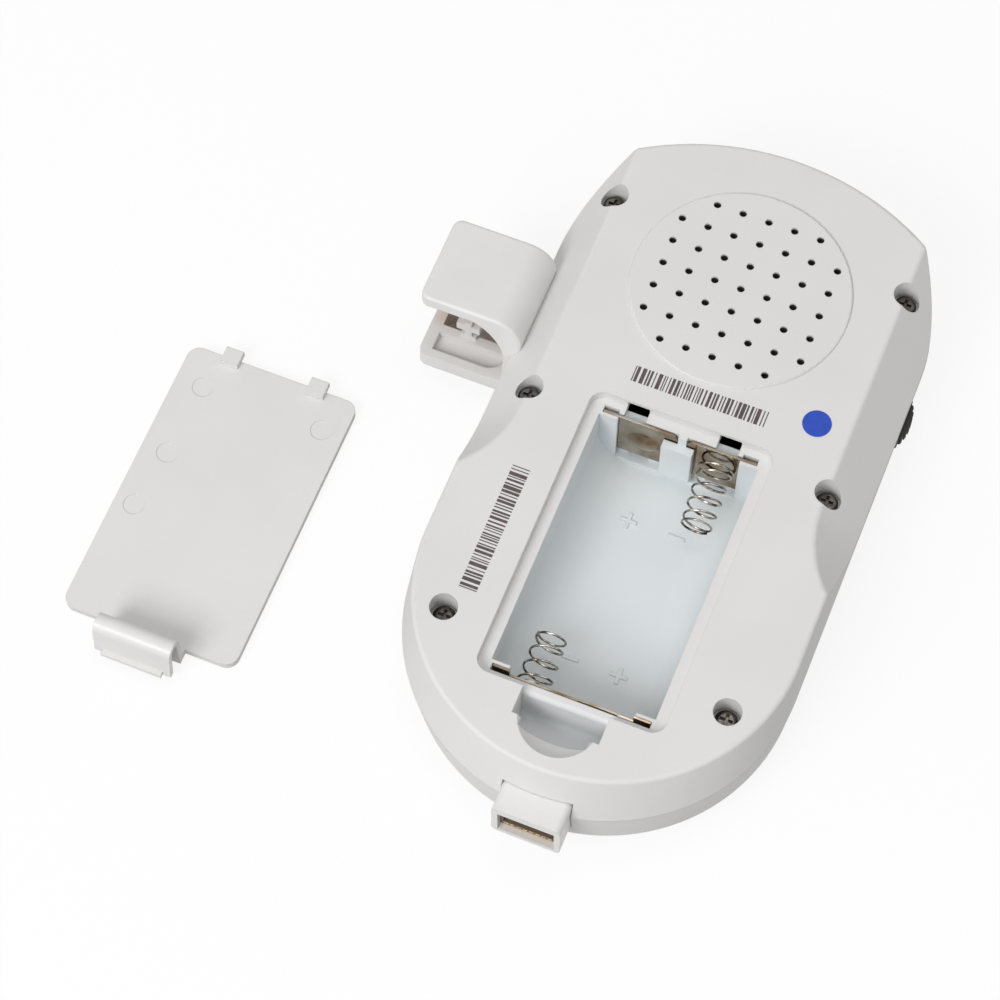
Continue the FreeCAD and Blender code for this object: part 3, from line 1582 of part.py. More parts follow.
# ---------------------------------------------------------------- export
def all_pieces():
    """Every piece of the monitor by its plain name."""
    pieces = {
        "rear_shell": rear_shell(),
        "front_shell": front_shell(),
        "battery_door": turned_over(battery_door()),
        "door_latch": turned_over(door_latch()),
        "case_screws": case_screws(),
        "speaker_cloth": speaker_cloth(),
        "speaker_gasket": speaker_gasket(),
        "speaker_frame": speaker_frame(),
        "speaker_magnet": speaker_magnet(),
        "speaker_cone": speaker_cone(),
        "positive_contact": positive_contact(),
        "negative_contact": negative_contact(),
        "bridge_contact": bridge_contact(),
        "upper_spring": upper_spring(),
        "lower_spring": lower_spring(),
        "probe_clip": probe_clip(),
        "probe_socket": probe_socket(),
        "socket_insert": socket_insert(),
        "socket_blades": socket_blades(),
        "volume_wheel": volume_wheel(),
        "pot_shaft": pot_shaft(),
        "pot_body": pot_body(),
        "front_overlay": front_overlay(),
        "display_window": display_window(),
        "display_glass": display_glass(),
        "display_backlight": display_backlight(),
        "tact_switches": tact_switches(),
        "main_board": main_board(),
        "board_parts": board_parts(),
        "board_screws": board_screws(),
        "headphone_jack": headphone_jack(),
        "battery_leads": battery_leads(),
        "speaker_leads": speaker_leads(),
        "blue_disc": blue_disc(),
    }
    for name, x, y, radius in buttons:
        pieces[name] = button(x, y, radius)
    return pieces


os.makedirs("parts", exist_ok=True)
for piece_name, piece in all_pieces().items():
    piece.exportStep(os.path.join("parts", piece_name + ".step"))
    print(piece_name, len(piece.Solids), round(piece.Volume, 2), piece.isValid())
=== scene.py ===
"""Finishes and small pieces for an opened pocket fetal doppler monitor, lying on its front."""

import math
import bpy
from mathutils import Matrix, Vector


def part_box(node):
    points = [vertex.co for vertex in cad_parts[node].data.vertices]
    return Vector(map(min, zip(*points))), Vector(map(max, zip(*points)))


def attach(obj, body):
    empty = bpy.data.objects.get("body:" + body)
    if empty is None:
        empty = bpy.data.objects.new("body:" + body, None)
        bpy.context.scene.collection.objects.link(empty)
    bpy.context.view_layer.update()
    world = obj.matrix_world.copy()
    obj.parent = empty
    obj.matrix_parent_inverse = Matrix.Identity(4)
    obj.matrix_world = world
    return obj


bl_info = {
    "name": "Pocket fetal doppler monitor",
    "version": (1, 1, 0),
    "blender": (4, 5, 0),
    "location": "3D View > Sidebar > Doppler",
    "description": "Finishes, printed bars and studio for an opened doppler monitor",
    "category": "Object",
}

import bpy
import numpy as np
from bpy.props import FloatProperty, FloatVectorProperty, IntProperty, PointerProperty
from mathutils import Matrix, Vector

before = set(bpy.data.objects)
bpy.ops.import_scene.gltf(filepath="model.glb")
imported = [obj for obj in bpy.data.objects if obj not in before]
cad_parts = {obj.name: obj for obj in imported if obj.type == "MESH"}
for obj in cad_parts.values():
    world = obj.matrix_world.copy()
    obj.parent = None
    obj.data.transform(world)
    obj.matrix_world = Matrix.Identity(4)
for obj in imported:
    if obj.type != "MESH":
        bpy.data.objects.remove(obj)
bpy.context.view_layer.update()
MM = 0.001


def box_around(node, margin):
    """The box of a solid grown on every side by a margin, both in millimetres."""
    low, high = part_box(node)
    return [c / MM - margin for c in low], [c / MM + margin for c in high]


# Boxes that are given a colour, in millimetres, and how far, in metres, each one fades.
# A cooler white in the battery bay and on the latch pocket's floor.
BAY = ((-15.1, -51.2, 8.0), (15.1, 6.8, 23.8))
POCKET_FLOOR = ((-8.4, -57.5, 15.5), (8.4, -50.2, 17.3))
BAY_FADE = 0.2 * MM
# Painted shade on the walls of the grille's holes, so that the holes look darker.
HOLE_WALLS = ((-18.0, 17.0, 25.0), (18.0, 54.0, 25.93))
HOLE_FADE = 0.03 * MM
# Painted warm shade deep inside the probe clip, where light only seeps in.
CLIP_INSIDE = ((-53.0, 18.0, 2.0), (-38.0, 28.9, 23.6))
CLIP_FADE = 1.2 * MM
WINDOW_RING = box_around("display_window", 1.2)
RING_FADE = 0.1 * MM

# The printed bars, in millimetres. A strip has a low and a high corner on the back face, which
# carries the blue disc, and the axis that its bars are spaced along.
BACK_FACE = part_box("blue_disc")[0].z / MM
BAR_STRIPS = {
    "grille_bars": ((-11.9, 10.8), (13.6, 14.0), 0),
    "side_bars": ((-25.1, -37.7), (-21.8, -12.25), 1),
}
THIN_BAR = 0.19
WIDE_BAR = 0.72
THIN_GAP = 0.2
GAP_STEP = 0.12

# Patterns. A noise value seldom leaves the middle of its range, so that middle is spread out.
DRIFT_DETAIL = 3.0
DRIFT_LOW, DRIFT_HIGH = 0.35, 0.65
GRAIN_LOW, GRAIN_HIGH = 0.3, 0.7
ROUGH_SPREAD = 0.12  # from the glossiest grain to the dullest, on black mouldings and platings
SOFT_SPREAD = 0.1  # the same on the inner mouldings
EDGE_SAMPLES = 4
WAVE_REPEAT = math.tau / 20.0  # spacing of the bands of a wave node of scale 1
WHITE = (1.0, 1.0, 1.0)
NEAR_TONE = 0.965  # second tone of a tinted plastic, as a share of the first

# Places of a colour Mix node's sockets: its share, its two colours and the mixed colour.
SHARE, FIRST, SECOND, MIXED = 0, 6, 7, 2

# The stage, in metres, apart from the sensor, which is in millimetres.
FLOOR_REACH = 1.6
FLOOR_DROP = 0.00005
MAIN_LAMP_PLACE = (-0.325, -0.91, 0.87)
TOP_LAMP_PLACE = (0.05, 0.15, 1.5)
CAMERA_PLACE = (0.0615, -0.2333, 0.5064)
CAMERA_RIGHT = (0.92738, 0.37412, 0.0)
CAMERA_UP = (-0.33739, 0.83634, 0.43209)
SENSOR_WIDTH = 36.0


def linear(code):
    """sRGB hex code to linear red, green and blue: the usual curve, piece by piece."""
    parts = [int(code[i:i + 2], 16) / 255.0 for i in (1, 3, 5)]
    return tuple(c / 12.92 if c <= 0.04045 else ((c + 0.055) / 1.055) ** 2.4 for c in parts)


def shade(colour, factor):
    """A linear colour made darker or lighter by a factor."""
    return tuple(min(1.0, c * factor) for c in colour)


def colour_property(name, code, description):
    """A colour that a user may change, written as sRGB hex."""
    return FloatVectorProperty(name=name, description=description, subtype="COLOR", size=3,
                               min=0.0, max=1.0, default=linear(code))


def length_property(name, millimetres, description):
    """A length that a user may change, written in millimetres."""
    return FloatProperty(name=name, description=description, subtype="DISTANCE", unit="LENGTH",
                         min=0.0, default=millimetres * MM)


# ---------------------------------------------------------------- settings
class DopplerPlasticSettings(bpy.types.PropertyGroup):
    """Colours and grain of the moulded plastics."""

    case: colour_property("Case", "#E4E3E2", "Grey-white of the two shells and the door")
    # The cooler white given to the battery bay and the latch pocket's floor; roughness is as
    # elsewhere.
    bay: colour_property("Bay", "#E2E7E9", "Cooler white of the polished battery bay")
    # Painted shade on the walls of the grille's holes.
    depth: colour_property("Hole walls", "#4E4B47", "Dusty walls of the grille's holes")
    ivory: colour_property("Ivory", "#E6E4E2", "Slightly warmer white of clip, hood and latch")
    # Painted warm shade deep inside the probe clip.
    clip_shade: colour_property("Beige", "#DACDC1", "Ivory deep inside the probe clip")
    black: colour_property("Black", "#070707", "Thumbwheel and small black mouldings")
    button: colour_property("Button", "#E4E6EA", "Push buttons on the front")
    edge: length_property("Edge radius", 0.25, "Radius of a moulded edge")
    grain: length_property("Grain", 0.5, "Width of one grain of the eroded tool surface")


class DopplerMetalSettings(bpy.types.PropertyGroup):
    """Colours of the metals."""

    strip: colour_property("Contact strip", "#B0A89A", "Nickel-plated contact strip")
    # Painted light-brown reflection, in patches on the contact strip.
    tan: colour_property("Tarnish", "#7C654B", "Tan tarnish of the contact strip")
    wire: colour_property("Spring wire", "#D2CBC0", "Bright nickel of the spring wire")
    # Painted dark reflection, in lengths along the spring wire.
    wire_dark_reflection: colour_property("Bare wire", "#43382F", "Dark steel where the nickel is thin")
    oxide: colour_property("Screws", "#4A4642", "Worn black oxide on the screws")
    gold: colour_property("Blades", "#DDBE7E", "Gold flash on the socket blades")
    lines: length_property("Rolling lines", 0.5, "Spacing of the rolling lines in the strip")


class DopplerPrintSettings(bpy.types.PropertyGroup):
    """Colours and sizes of what is printed or stuck on the case."""

    ink: colour_property("Ink", "#463C3B", "Brown-black ink of the printed bars")
    disc: colour_property("Disc", "#0A47C0", "Blue of the round sticker")
    film: colour_property("Front film", "#A9C4D8", "Pale blue of the film on the front")
    surround: colour_property("Surround", "#56708A", "Darker blue round the window")
    rise: length_property("Ink thickness", 0.02, "Height of the ink over the back face")
    bars: IntProperty(name="Bars", description="Most bars that a strip may hold",
                      default=60, min=1, max=200)


class DopplerStageSettings(bpy.types.PropertyGroup):
    """Floor, lamps, world and camera."""

    floor: colour_property("Floor", "#B9B9B9", "Pale floor, as the rest of the scene is lit by it")
    key: FloatProperty(name="Main lamp", description="Power of the soft lamp beyond the lower end",
                       default=8.4, min=0.0, unit="POWER")
    top: FloatProperty(name="Top lamp", description="Power of the wide lamp overhead",
                       default=3.0, min=0.0, unit="POWER")
    lamp_size: length_property("Lamp width", 600.0, "Width of the soft lamps")
    world: FloatProperty(name="World", description="Strength of the even light from all round",
                         default=0.46, min=0.0)
    veil: FloatProperty(name="Shadow veil", description="How far the seen floor is lifted to white",
                        subtype="FACTOR", default=0.85, min=0.0, max=1.0)
    lens: FloatProperty(name="Lens", description="Focal length on a 36 mm square sensor",
                        default=109.7, min=1.0, unit="CAMERA")


def settings(name):
    """One of the scene's groups of settings."""
    return getattr(bpy.context.scene, "doppler_" + name)


# ---------------------------------------------------------------- building materials
def connect(tree, node, inputs):
    """Sets a node's sockets, by name or place: outputs are linked, colours given their fourth
    number, and other values written."""
    for key, value in inputs.items():
        socket = node.inputs[key]
        if isinstance(value, bpy.types.NodeSocket):
            tree.links.new(value, socket)
        elif socket.type == "RGBA":
            socket.default_value = (*value, 1.0)
        else:
            socket.default_value = value


def add(tree, kind, inputs=None, **fixed):
    """Adds a node: fixed are its own settings, inputs the values or links of its sockets."""
    node = tree.nodes.new(kind)
    for key, value in fixed.items():
        setattr(node, key, value)
    connect(tree, node, inputs or {})
    return node


def begin(name, **sockets):
    """A new material: its tree, its shader with the given sockets set, and Object coordinates."""
    material = bpy.data.materials.new(name)
    material.use_nodes = True
    tree = material.node_tree
    shader = tree.nodes["Principled BSDF"]
    connect(tree, shader, {key.replace("_", " "): value for key, value in sockets.items()})
    return material, tree, shader, add(tree, "ShaderNodeTexCoord").outputs["Object"]


def skin(tree, shader, where, tones, lump, grain, rough, relief, edge=0.0, stretch=WHITE):
    """A whole finish, its lengths in metres: two tones drift into each other in lumps, and a finer
    grain, stretched along an axis for brushed or rolled stock, sets the roughness between its two
    ends and raises the surface by the relief, over edges rounded by the edge radius. Grain under
    0.4 mm wouldn't show, so finer ones are drawn that coarse."""
    drift = add(tree, "ShaderNodeTexNoise",
                {"Vector": where, "Scale": 1.0 / lump, "Detail": DRIFT_DETAIL})
    share = add(tree, "ShaderNodeMapRange", {"Value": drift.outputs["Fac"],
                "From Min": DRIFT_LOW, "From Max": DRIFT_HIGH})
    colour = add(tree, "ShaderNodeMix", {SHARE: share.outputs["Result"], FIRST: tones[0],
                 SECOND: tones[1]}, data_type="RGBA")
    along = add(tree, "ShaderNodeMapping", {"Vector": where, "Scale": stretch})
    fine = add(tree, "ShaderNodeTexNoise", {"Vector": along.outputs[0], "Scale": 1.0 / grain})
    dull = add(tree, "ShaderNodeMapRange", {"Value": fine.outputs["Fac"], "From Min": GRAIN_LOW,
               "From Max": GRAIN_HIGH, "To Min": rough[0], "To Max": rough[1]})
    raised = add(tree, "ShaderNodeBump", {"Height": fine.outputs["Fac"], "Distance": relief})
    if edge:
        rounded = add(tree, "ShaderNodeBevel", {"Radius": edge}, samples=EDGE_SAMPLES)
        connect(tree, raised, {"Normal": rounded.outputs[0]})
    connect(tree, shader, {"Base Color": colour.outputs[MIXED],
                           "Roughness": dull.outputs["Result"], "Normal": raised.outputs[0]})


def inside_box(tree, where, box, fade):
    """1 inside a box given in millimetres and 0 outside: the largest of |p - middle| - half over
    the three axes, faded that many metres to either side."""
    middle = [(a + b) / 2.0 * MM for a, b in zip(*box)]
    half = [(b - a) / 2.0 * MM for a, b in zip(*box)]
    away = add(tree, "ShaderNodeVectorMath", {0: where, 1: middle}, operation="SUBTRACT")
    away = add(tree, "ShaderNodeVectorMath", {0: away.outputs[0]}, operation="ABSOLUTE")
    away = add(tree, "ShaderNodeVectorMath", {0: away.outputs[0], 1: half}, operation="SUBTRACT")
    split = add(tree, "ShaderNodeSeparateXYZ", {0: away.outputs[0]}).outputs
    flat = add(tree, "ShaderNodeMath", {0: split[0], 1: split[1]}, operation="MAXIMUM")
    largest = add(tree, "ShaderNodeMath", {0: flat.outputs[0], 1: split[2]}, operation="MAXIMUM")
    return add(tree, "ShaderNodeMapRange", {"Value": largest.outputs[0], "From Min": -fade,
               "From Max": fade, "To Min": 1.0, "To Max": 0.0}).outputs["Result"]


def tinted(tree, where, colour, places):
    """Two near tones of a colour. A place is a box in millimetres, how far it fades in metres, and
    its own colour: inside it they are two near tones of that."""
    factors = (1.0, NEAR_TONE)
    pair = [shade(colour, factor) for factor in factors]
    for box, fade, own in places:
        mask = inside_box(tree, where, box, fade)
        pair = [add(tree, "ShaderNodeMix", {SHARE: mask, FIRST: tone, SECOND: shade(own, factor)},
                    data_type="RGBA").outputs[MIXED] for tone, factor in zip(pair, factors)]
    return pair


def dress(nodes, material):
    """Gives a material to every slot of the named solids."""
    for name in nodes:
        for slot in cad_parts[name].material_slots:
            slot.material = material


# ---------------------------------------------------------------- plastics
def case_abs():
    """ABS moulded in a finely eroded tool: grey-white and even, its highlight broken by the grain,
    which is drawn coarser than real so that it shows, a cooler white in the battery bay and on
    the latch pocket's floor, and painted shade on the walls of the grille's holes."""
    s = settings("plastic")
    material, tree, shader, where = begin("moulded_abs_grey_white", IOR=1.53)
    places = ((BAY, BAY_FADE, s.bay), (POCKET_FLOOR, BAY_FADE, s.bay),
              (HOLE_WALLS, HOLE_FADE, s.depth))
    skin(tree, shader, where, tinted(tree, where, s.case, places), lump=22 * MM, grain=s.grain,
         rough=(0.55, 0.65), relief=0.01 * MM, edge=s.edge)
    return material


def ivory_abs():
    """ABS moulded in a polished tool: a slightly warmer white and a satin skin with flow marks.
    Deep inside the clip, where light only seeps in, warm shade is painted on."""
    s = settings("plastic")
    material, tree, shader, where = begin("moulded_abs_ivory", IOR=1.53)
    tones = tinted(tree, where, s.ivory, ((CLIP_INSIDE, CLIP_FADE, s.clip_shade),))
    skin(tree, shader, where, tones, lump=12 * MM, grain=1.2 * MM, rough=(0.32, 0.4),
         relief=0.008 * MM, edge=s.edge, stretch=(1.0, 0.5, 1.0))
    return material


def button_abs():
    """Painted ABS of the push buttons: near white and silky."""
    s = settings("plastic")
    material, tree, shader, where = begin("silky_button_abs", IOR=1.5)
    skin(tree, shader, where, (s.button, shade(s.button, 0.95)), lump=4 * MM, grain=1 * MM,
         rough=(0.24, 0.34), relief=0.008 * MM, edge=s.edge)
    return material


def black_moulding(name, rough, grain):
    """Black nylon, phenolic or epoxy: a dull grain that lifts the highlights a little."""
    s = settings("plastic")
    material, tree, shader, where = begin(name, IOR=1.52)
    skin(tree, shader, where, (s.black, shade(s.black, 2.0)), lump=3 * grain, grain=grain,
         rough=(rough, rough + ROUGH_SPREAD), relief=0.015 * MM, edge=0.12 * MM)
    return material


# ---------------------------------------------------------------- metals
def nickel_strip():
    """Nickel-plated steel strip, stamped: bright, with patches of painted light-brown reflection
    and with rolling lines drawn wide enough apart to show."""
    s = settings("metal")
    material, tree, shader, where = begin("nickel_plated_strip", Metallic=1.0)
    skin(tree, shader, where, (s.strip, s.tan), lump=6 * MM, grain=s.lines, rough=(0.05, 0.13),
         relief=0.004 * MM, edge=0.08 * MM, stretch=(0.12, 1.0, 1.0))
    return material


def spring_wire():
    """Hard-drawn wire under a thin nickel, glossy all over: bright lengths broken by dark ones,
    which are painted dark reflection.
    """
    s = settings("metal")
    material, tree, shader, where = begin("drawn_spring_wire", Metallic=1.0)
    skin(tree, shader, where, (s.wire, s.wire_dark_reflection), lump=1.4 * MM, grain=0.4 * MM, rough=(0.06, 0.16),
         relief=0.003 * MM)
    return material


def black_oxide():
    """Case-hardened steel with worn black oxide: dark grey and oily, with brighter patches."""
    s = settings("metal")
    material, tree, shader, where = begin("black_oxide_steel", Metallic=1.0)
    skin(tree, shader, where, (s.oxide, shade(s.oxide, 2.0)), lump=1.2 * MM, grain=0.6 * MM,
         rough=(0.08, 0.2), relief=0.008 * MM, edge=0.12 * MM)
    return material


def plated(name, colour, rough, grain):
    """Plated, turned or sintered metal: one tone clouded by another, with an even fine grain."""
    material, tree, shader, where = begin(name, Metallic=1.0)
    skin(tree, shader, where, (colour, shade(colour, 0.72)), lump=4 * grain, grain=grain,
         rough=(rough, rough + ROUGH_SPREAD), relief=0.01 * MM, edge=0.1 * MM)
    return material


# ---------------------------------------------------------------- prints, films, boards
def screen_ink():
    """Screen-printed ink: brown-black, its film a little starved in places."""
    s = settings("print")
    material, tree, shader, where = begin("screen_ink", IOR=1.5)
    skin(tree, shader, where, (s.ink, shade(s.ink, 1.7)), lump=0.8 * MM, grain=0.4 * MM,
         rough=(0.45, 0.6), relief=0.004 * MM)
    return material


def blue_vinyl():
    """Printed vinyl sticker: even strong blue under a thin gloss, with slight orange peel."""
    s = settings("print")
    material, tree, shader, where = begin("blue_vinyl_film", IOR=1.5)
    skin(tree, shader, where, (s.disc, shade(s.disc, 0.86)), lump=1.8 * MM, grain=0.8 * MM,
         rough=(0.22, 0.34), relief=0.006 * MM)
    return material


def front_film():
    """Back-printed polycarbonate film: pale blue, darker round the window, satin grain."""
    s = settings("print")
    material, tree, shader, where = begin("printed_polycarbonate_film", IOR=1.58)
    tones = tinted(tree, where, s.film, ((WINDOW_RING, RING_FADE, s.surround),))
    skin(tree, shader, where, tones, lump=12 * MM, grain=0.4 * MM, rough=(0.28, 0.38),
         relief=0.006 * MM)
    return material


def clear_acrylic():
    """Cast acrylic window: clear and glossy, with hair scratches."""
    material, tree, shader, where = begin("clear_acrylic", IOR=1.49, Transmission_Weight=0.92)
    skin(tree, shader, where, (linear("#F2F6F7"), linear("#E4ECEF")), lump=6 * MM,
         grain=0.4 * MM, rough=(0.03, 0.12), relief=0.002 * MM, stretch=(0.08, 1.0, 1.0))
    return material


def display_face():
    """Unpowered liquid crystal glass: grey-green, with ghostly columns and rows of segments."""
    column, row = 7.48 * MM, 8.7266 * MM
    lit, unlit, ground = linear("#84907F"), linear("#93A08F"), linear("#8F9C8B")
    material, tree, shader, where = begin("liquid_crystal_glass", IOR=1.52)
    columns = add(tree, "ShaderNodeTexWave", {"Vector": where, "Scale": WAVE_REPEAT / column},
                  bands_direction="X")
    rows = add(tree, "ShaderNodeTexWave", {"Vector": where, "Scale": WAVE_REPEAT / row},
               bands_direction="Y")
    both = add(tree, "ShaderNodeMath", {0: columns.outputs["Fac"], 1: rows.outputs["Fac"]},
               operation="MULTIPLY")
    ghost = add(tree, "ShaderNodeMix", {SHARE: both.outputs[0], FIRST: unlit, SECOND: lit},
                data_type="RGBA")
    skin(tree, shader, where, (ghost.outputs[MIXED], ground), lump=20 * MM, grain=2 * MM,
         rough=(0.08, 0.16), relief=0.002 * MM)
    return material


def inner_moulding(name, code, rough, grain):
    """A small inner moulding, foam, paper or sleeve: two near tones and a grain of its own."""
    material, tree, shader, where = begin(name, IOR=1.5)
    colour = linear(code)
    skin(tree, shader, where, (colour, shade(colour, 0.86)), lump=2 * grain, grain=grain,
         rough=(rough, rough + SOFT_SPREAD), relief=0.03 * grain, edge=0.1 * MM)
    return material


def dust_cloth():
    """Woven dust cloth behind the grille: black threads over and under each other, drawn a
    millimetre apart so that they show through the holes. The hollows between them are painted
    as shade, a little darker than the crowns."""
    spacing, rise = 0.98175 * MM, 0.06 * MM
    hollow, crown = linear("#0B0B0C"), linear("#202022")
    material, tree, shader, where = begin("woven_dust_cloth", IOR=1.46)
    warp = add(tree, "ShaderNodeTexWave", {"Vector": where, "Scale": WAVE_REPEAT / spacing},
               bands_direction="X")
    weft = add(tree, "ShaderNodeTexWave", {"Vector": where, "Scale": WAVE_REPEAT / spacing},
               bands_direction="Y")
    weave = add(tree, "ShaderNodeMath", {0: warp.outputs["Fac"], 1: weft.outputs["Fac"]},
                operation="MULTIPLY").outputs[0]
    colour = add(tree, "ShaderNodeMix", {SHARE: weave, FIRST: hollow, SECOND: crown},
                 data_type="RGBA")
    dull = add(tree, "ShaderNodeMapRange", {"Value": weave, "To Min": 0.95, "To Max": 0.8})
    raised = add(tree, "ShaderNodeBump", {"Height": weave, "Distance": rise})
    connect(tree, shader, {"Base Color": colour.outputs[MIXED],
                           "Roughness": dull.outputs["Result"], "Normal": raised.outputs[0]})
    return material


def solder_mask():
    """Solder mask over copper on glass laminate: dark green, tracks a shade lighter and raised.
    They run between square-cornered cells. Half the width of their crown and of their foot are
    shares of a cell."""
    cell, rise = 3.84615 * MM, 0.03 * MM
    crown, foot = 0.04, 0.07
    laminate, copper = linear("#0F4A26"), linear("#2C7A45")
    material, tree, shader, where = begin("green_solder_mask", IOR=1.52)
    cells = add(tree, "ShaderNodeTexVoronoi", {"Vector": where, "Scale": 1.0 / cell},
                feature="DISTANCE_TO_EDGE", distance="MANHATTAN")
    track = add(tree, "ShaderNodeMapRange", {"Value": cells.outputs["Distance"], "From Min": crown,
                "From Max": foot, "To Min": 1.0, "To Max": 0.0}).outputs["Result"]
    colour = add(tree, "ShaderNodeMix", {SHARE: track, FIRST: laminate, SECOND: copper},
                 data_type="RGBA")
    dull = add(tree, "ShaderNodeMapRange", {"Value": track, "To Min": 0.36, "To Max": 0.24})
    raised = add(tree, "ShaderNodeBump", {"Height": track, "Distance": rise})
    connect(tree, shader, {"Base Color": colour.outputs[MIXED],
                           "Roughness": dull.outputs["Result"], "Normal": raised.outputs[0]})
    return material


# ---------------------------------------------------------------- surfaces
def quad_mesh(name, corners):
    """A mesh of separate four-cornered faces, from an array of faces by 4 by 3, in metres."""
    mesh = bpy.data.meshes.new(name)
    faces = np.arange(corners.size // 3).reshape(-1, 4)
    mesh.from_pydata(corners.reshape(-1, 3).tolist(), [], faces.tolist())
    mesh.update()
    return mesh


def bar_corners(low, high, axis, height, most):
    """Corners, in metres, of the printed bars of a strip given in millimetres; they stand for no
    number. Bar n is the thin bar plus the difference to the wide one times the square of
    (5 n squared + n / 4) modulo 7 over 6, and the gap after it the thin gap plus a step times
    (2 n + n / 5) modulo 3, with the quarter and the fifth rounded down, until the strip is full."""
    n = np.arange(most)
    widths = THIN_BAR + (WIDE_BAR - THIN_BAR) * (((5 * n * n + n // 4) % 7) / 6.0) ** 2
    gaps = THIN_GAP + GAP_STEP * ((2 * n + n // 5) % 3)
    starts = low[axis] + np.cumsum(widths + gaps) - widths - gaps
    keep = starts + widths <= high[axis]
    starts, ends = starts[keep], (starts + widths)[keep]
    other = 1 - axis
    corners = np.full((len(starts), 4, 3), height)
    corners[:, :, axis] = np.stack([starts, ends, ends, starts], axis=1)
    corners[:, :, other] = np.array([low[other], low[other], high[other], high[other]])
    if axis == 1:
        corners = corners[:, ::-1, :]  # turned round, so that these faces look up too
    return corners * MM


# ---------------------------------------------------------------- operators
class DopplerCase(bpy.types.Operator):
    """Dress the two shells and the battery door in grey-white ABS"""

    bl_idname = "doppler.case"
    bl_label = "Case"

    def execute(self, context):
        dress(("rear_shell", "front_shell", "battery_door"), case_abs())
        return {"FINISHED"}


class DopplerIvory(bpy.types.Operator):
    """Dress the probe clip, the socket hood and the door latch in ivory ABS"""

    bl_idname = "doppler.ivory"
    bl_label = "Clip, hood and latch"

    def execute(self, context):
        dress(("probe_clip", "probe_socket", "door_latch"), ivory_abs())
        return {"FINISHED"}


class DopplerContacts(bpy.types.Operator):
    """Dress the contact plates, the springs and the socket's blades and insert"""

    bl_idname = "doppler.contacts"
    bl_label = "Contacts and springs"

    def execute(self, context):
        s = settings("metal")
        dress(("positive_contact", "negative_contact", "bridge_contact"), nickel_strip())
        dress(("upper_spring", "lower_spring"), spring_wire())
        dress(("socket_blades",), plated("gold_flashed_blade", s.gold, rough=0.2, grain=0.4 * MM))
        dress(("socket_insert",),
              inner_moulding("brown_grey_insert", "#77695D", rough=0.4, grain=0.8 * MM))
        return {"FINISHED"}


class DopplerScrews(bpy.types.Operator):
    """Dress the case screws and the board screws"""

    bl_idname = "doppler.screws"
    bl_label = "Screws"

    def execute(self, context):
        dress(("case_screws", "board_screws"), black_oxide())
        return {"FINISHED"}


class DopplerWheel(bpy.types.Operator):
    """Dress the volume wheel and its control"""

    bl_idname = "doppler.wheel"
    bl_label = "Volume wheel"

    def execute(self, context):
        dress(("volume_wheel",),
              black_moulding("moulded_black_nylon", rough=0.62, grain=0.5 * MM))
        dress(("pot_shaft",),
              plated("turned_steel_pin", linear("#B8B8B6"), rough=0.2, grain=0.5 * MM))
        dress(("pot_body",), black_moulding("phenolic_housing", rough=0.5, grain=0.8 * MM))
        return {"FINISHED"}


class DopplerMarks(bpy.types.Operator):
    """Print the plain bars and dress the blue disc"""

    bl_idname = "doppler.marks"
    bl_label = "Printed bars and disc"

    def execute(self, context):
        s = settings("print")
        ink = screen_ink()
        for name, (low, high, axis) in BAR_STRIPS.items():
            corners = bar_corners(low, high, axis, BACK_FACE + s.rise / MM, s.bars)
            mesh = quad_mesh(name, corners)
            mesh.materials.append(ink)
            bars = bpy.data.objects.new(name, mesh)
            context.scene.collection.objects.link(bars)
            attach(bars, "monitor")
        dress(("blue_disc",), blue_vinyl())
        return {"FINISHED"}


class DopplerFront(bpy.types.Operator):
    """Dress the film, window, display and buttons of the front"""

    bl_idname = "doppler.front"
    bl_label = "Front face"

    def execute(self, context):
        dress(("front_overlay",), front_film())
        dress(("display_window",), clear_acrylic())
        dress(("display_glass",), display_face())
        dress(("display_backlight",),
              inner_moulding("light_guide", "#D9DBD6", rough=0.3, grain=2 * MM))
        dress(("mode_button", "play_button", "record_button", "power_button"), button_abs())
        return {"FINISHED"}


class DopplerInside(bpy.types.Operator):
    """Dress the speaker, the board and what it carries"""

    bl_idname = "doppler.inside"
    bl_label = "Speaker and board"

    def execute(self, context):
        dress(("speaker_cloth",), dust_cloth())
        dress(("speaker_gasket",),
              inner_moulding("closed_cell_foam", "#1A1A1B", rough=0.85, grain=0.6 * MM))
        dress(("speaker_cone",),
              inner_moulding("pressed_paper_cone", "#2A2A2C", rough=0.8, grain=0.8 * MM))
        dress(("speaker_frame",),
              plated("zinc_plated_basket", linear("#8A8C8E"), rough=0.28, grain=0.8 * MM))
        dress(("speaker_magnet",),
              plated("sintered_ferrite", linear("#3A3A3C"), rough=0.5, grain=0.5 * MM))
        dress(("main_board",), solder_mask())
        dress(("board_parts", "tact_switches", "headphone_jack"),
              black_moulding("moulded_epoxy", rough=0.45, grain=0.6 * MM))
        dress(("battery_leads", "speaker_leads"),
              inner_moulding("pvc_insulation", "#9C1F1A", rough=0.35, grain=1 * MM))
        return {"FINISHED"}


def seen_share(tree):
    """1 for camera, glossy and transmission rays, 0 for the rest."""
    rays = add(tree, "ShaderNodeLightPath").outputs
    seen = add(tree, "ShaderNodeMath", {0: rays["Is Camera Ray"], 1: rays["Is Glossy Ray"]},
               operation="MAXIMUM")
    return add(tree, "ShaderNodeMath", {0: seen.outputs[0], 1: rays["Is Transmission Ray"]},
               operation="MAXIMUM").outputs[0]


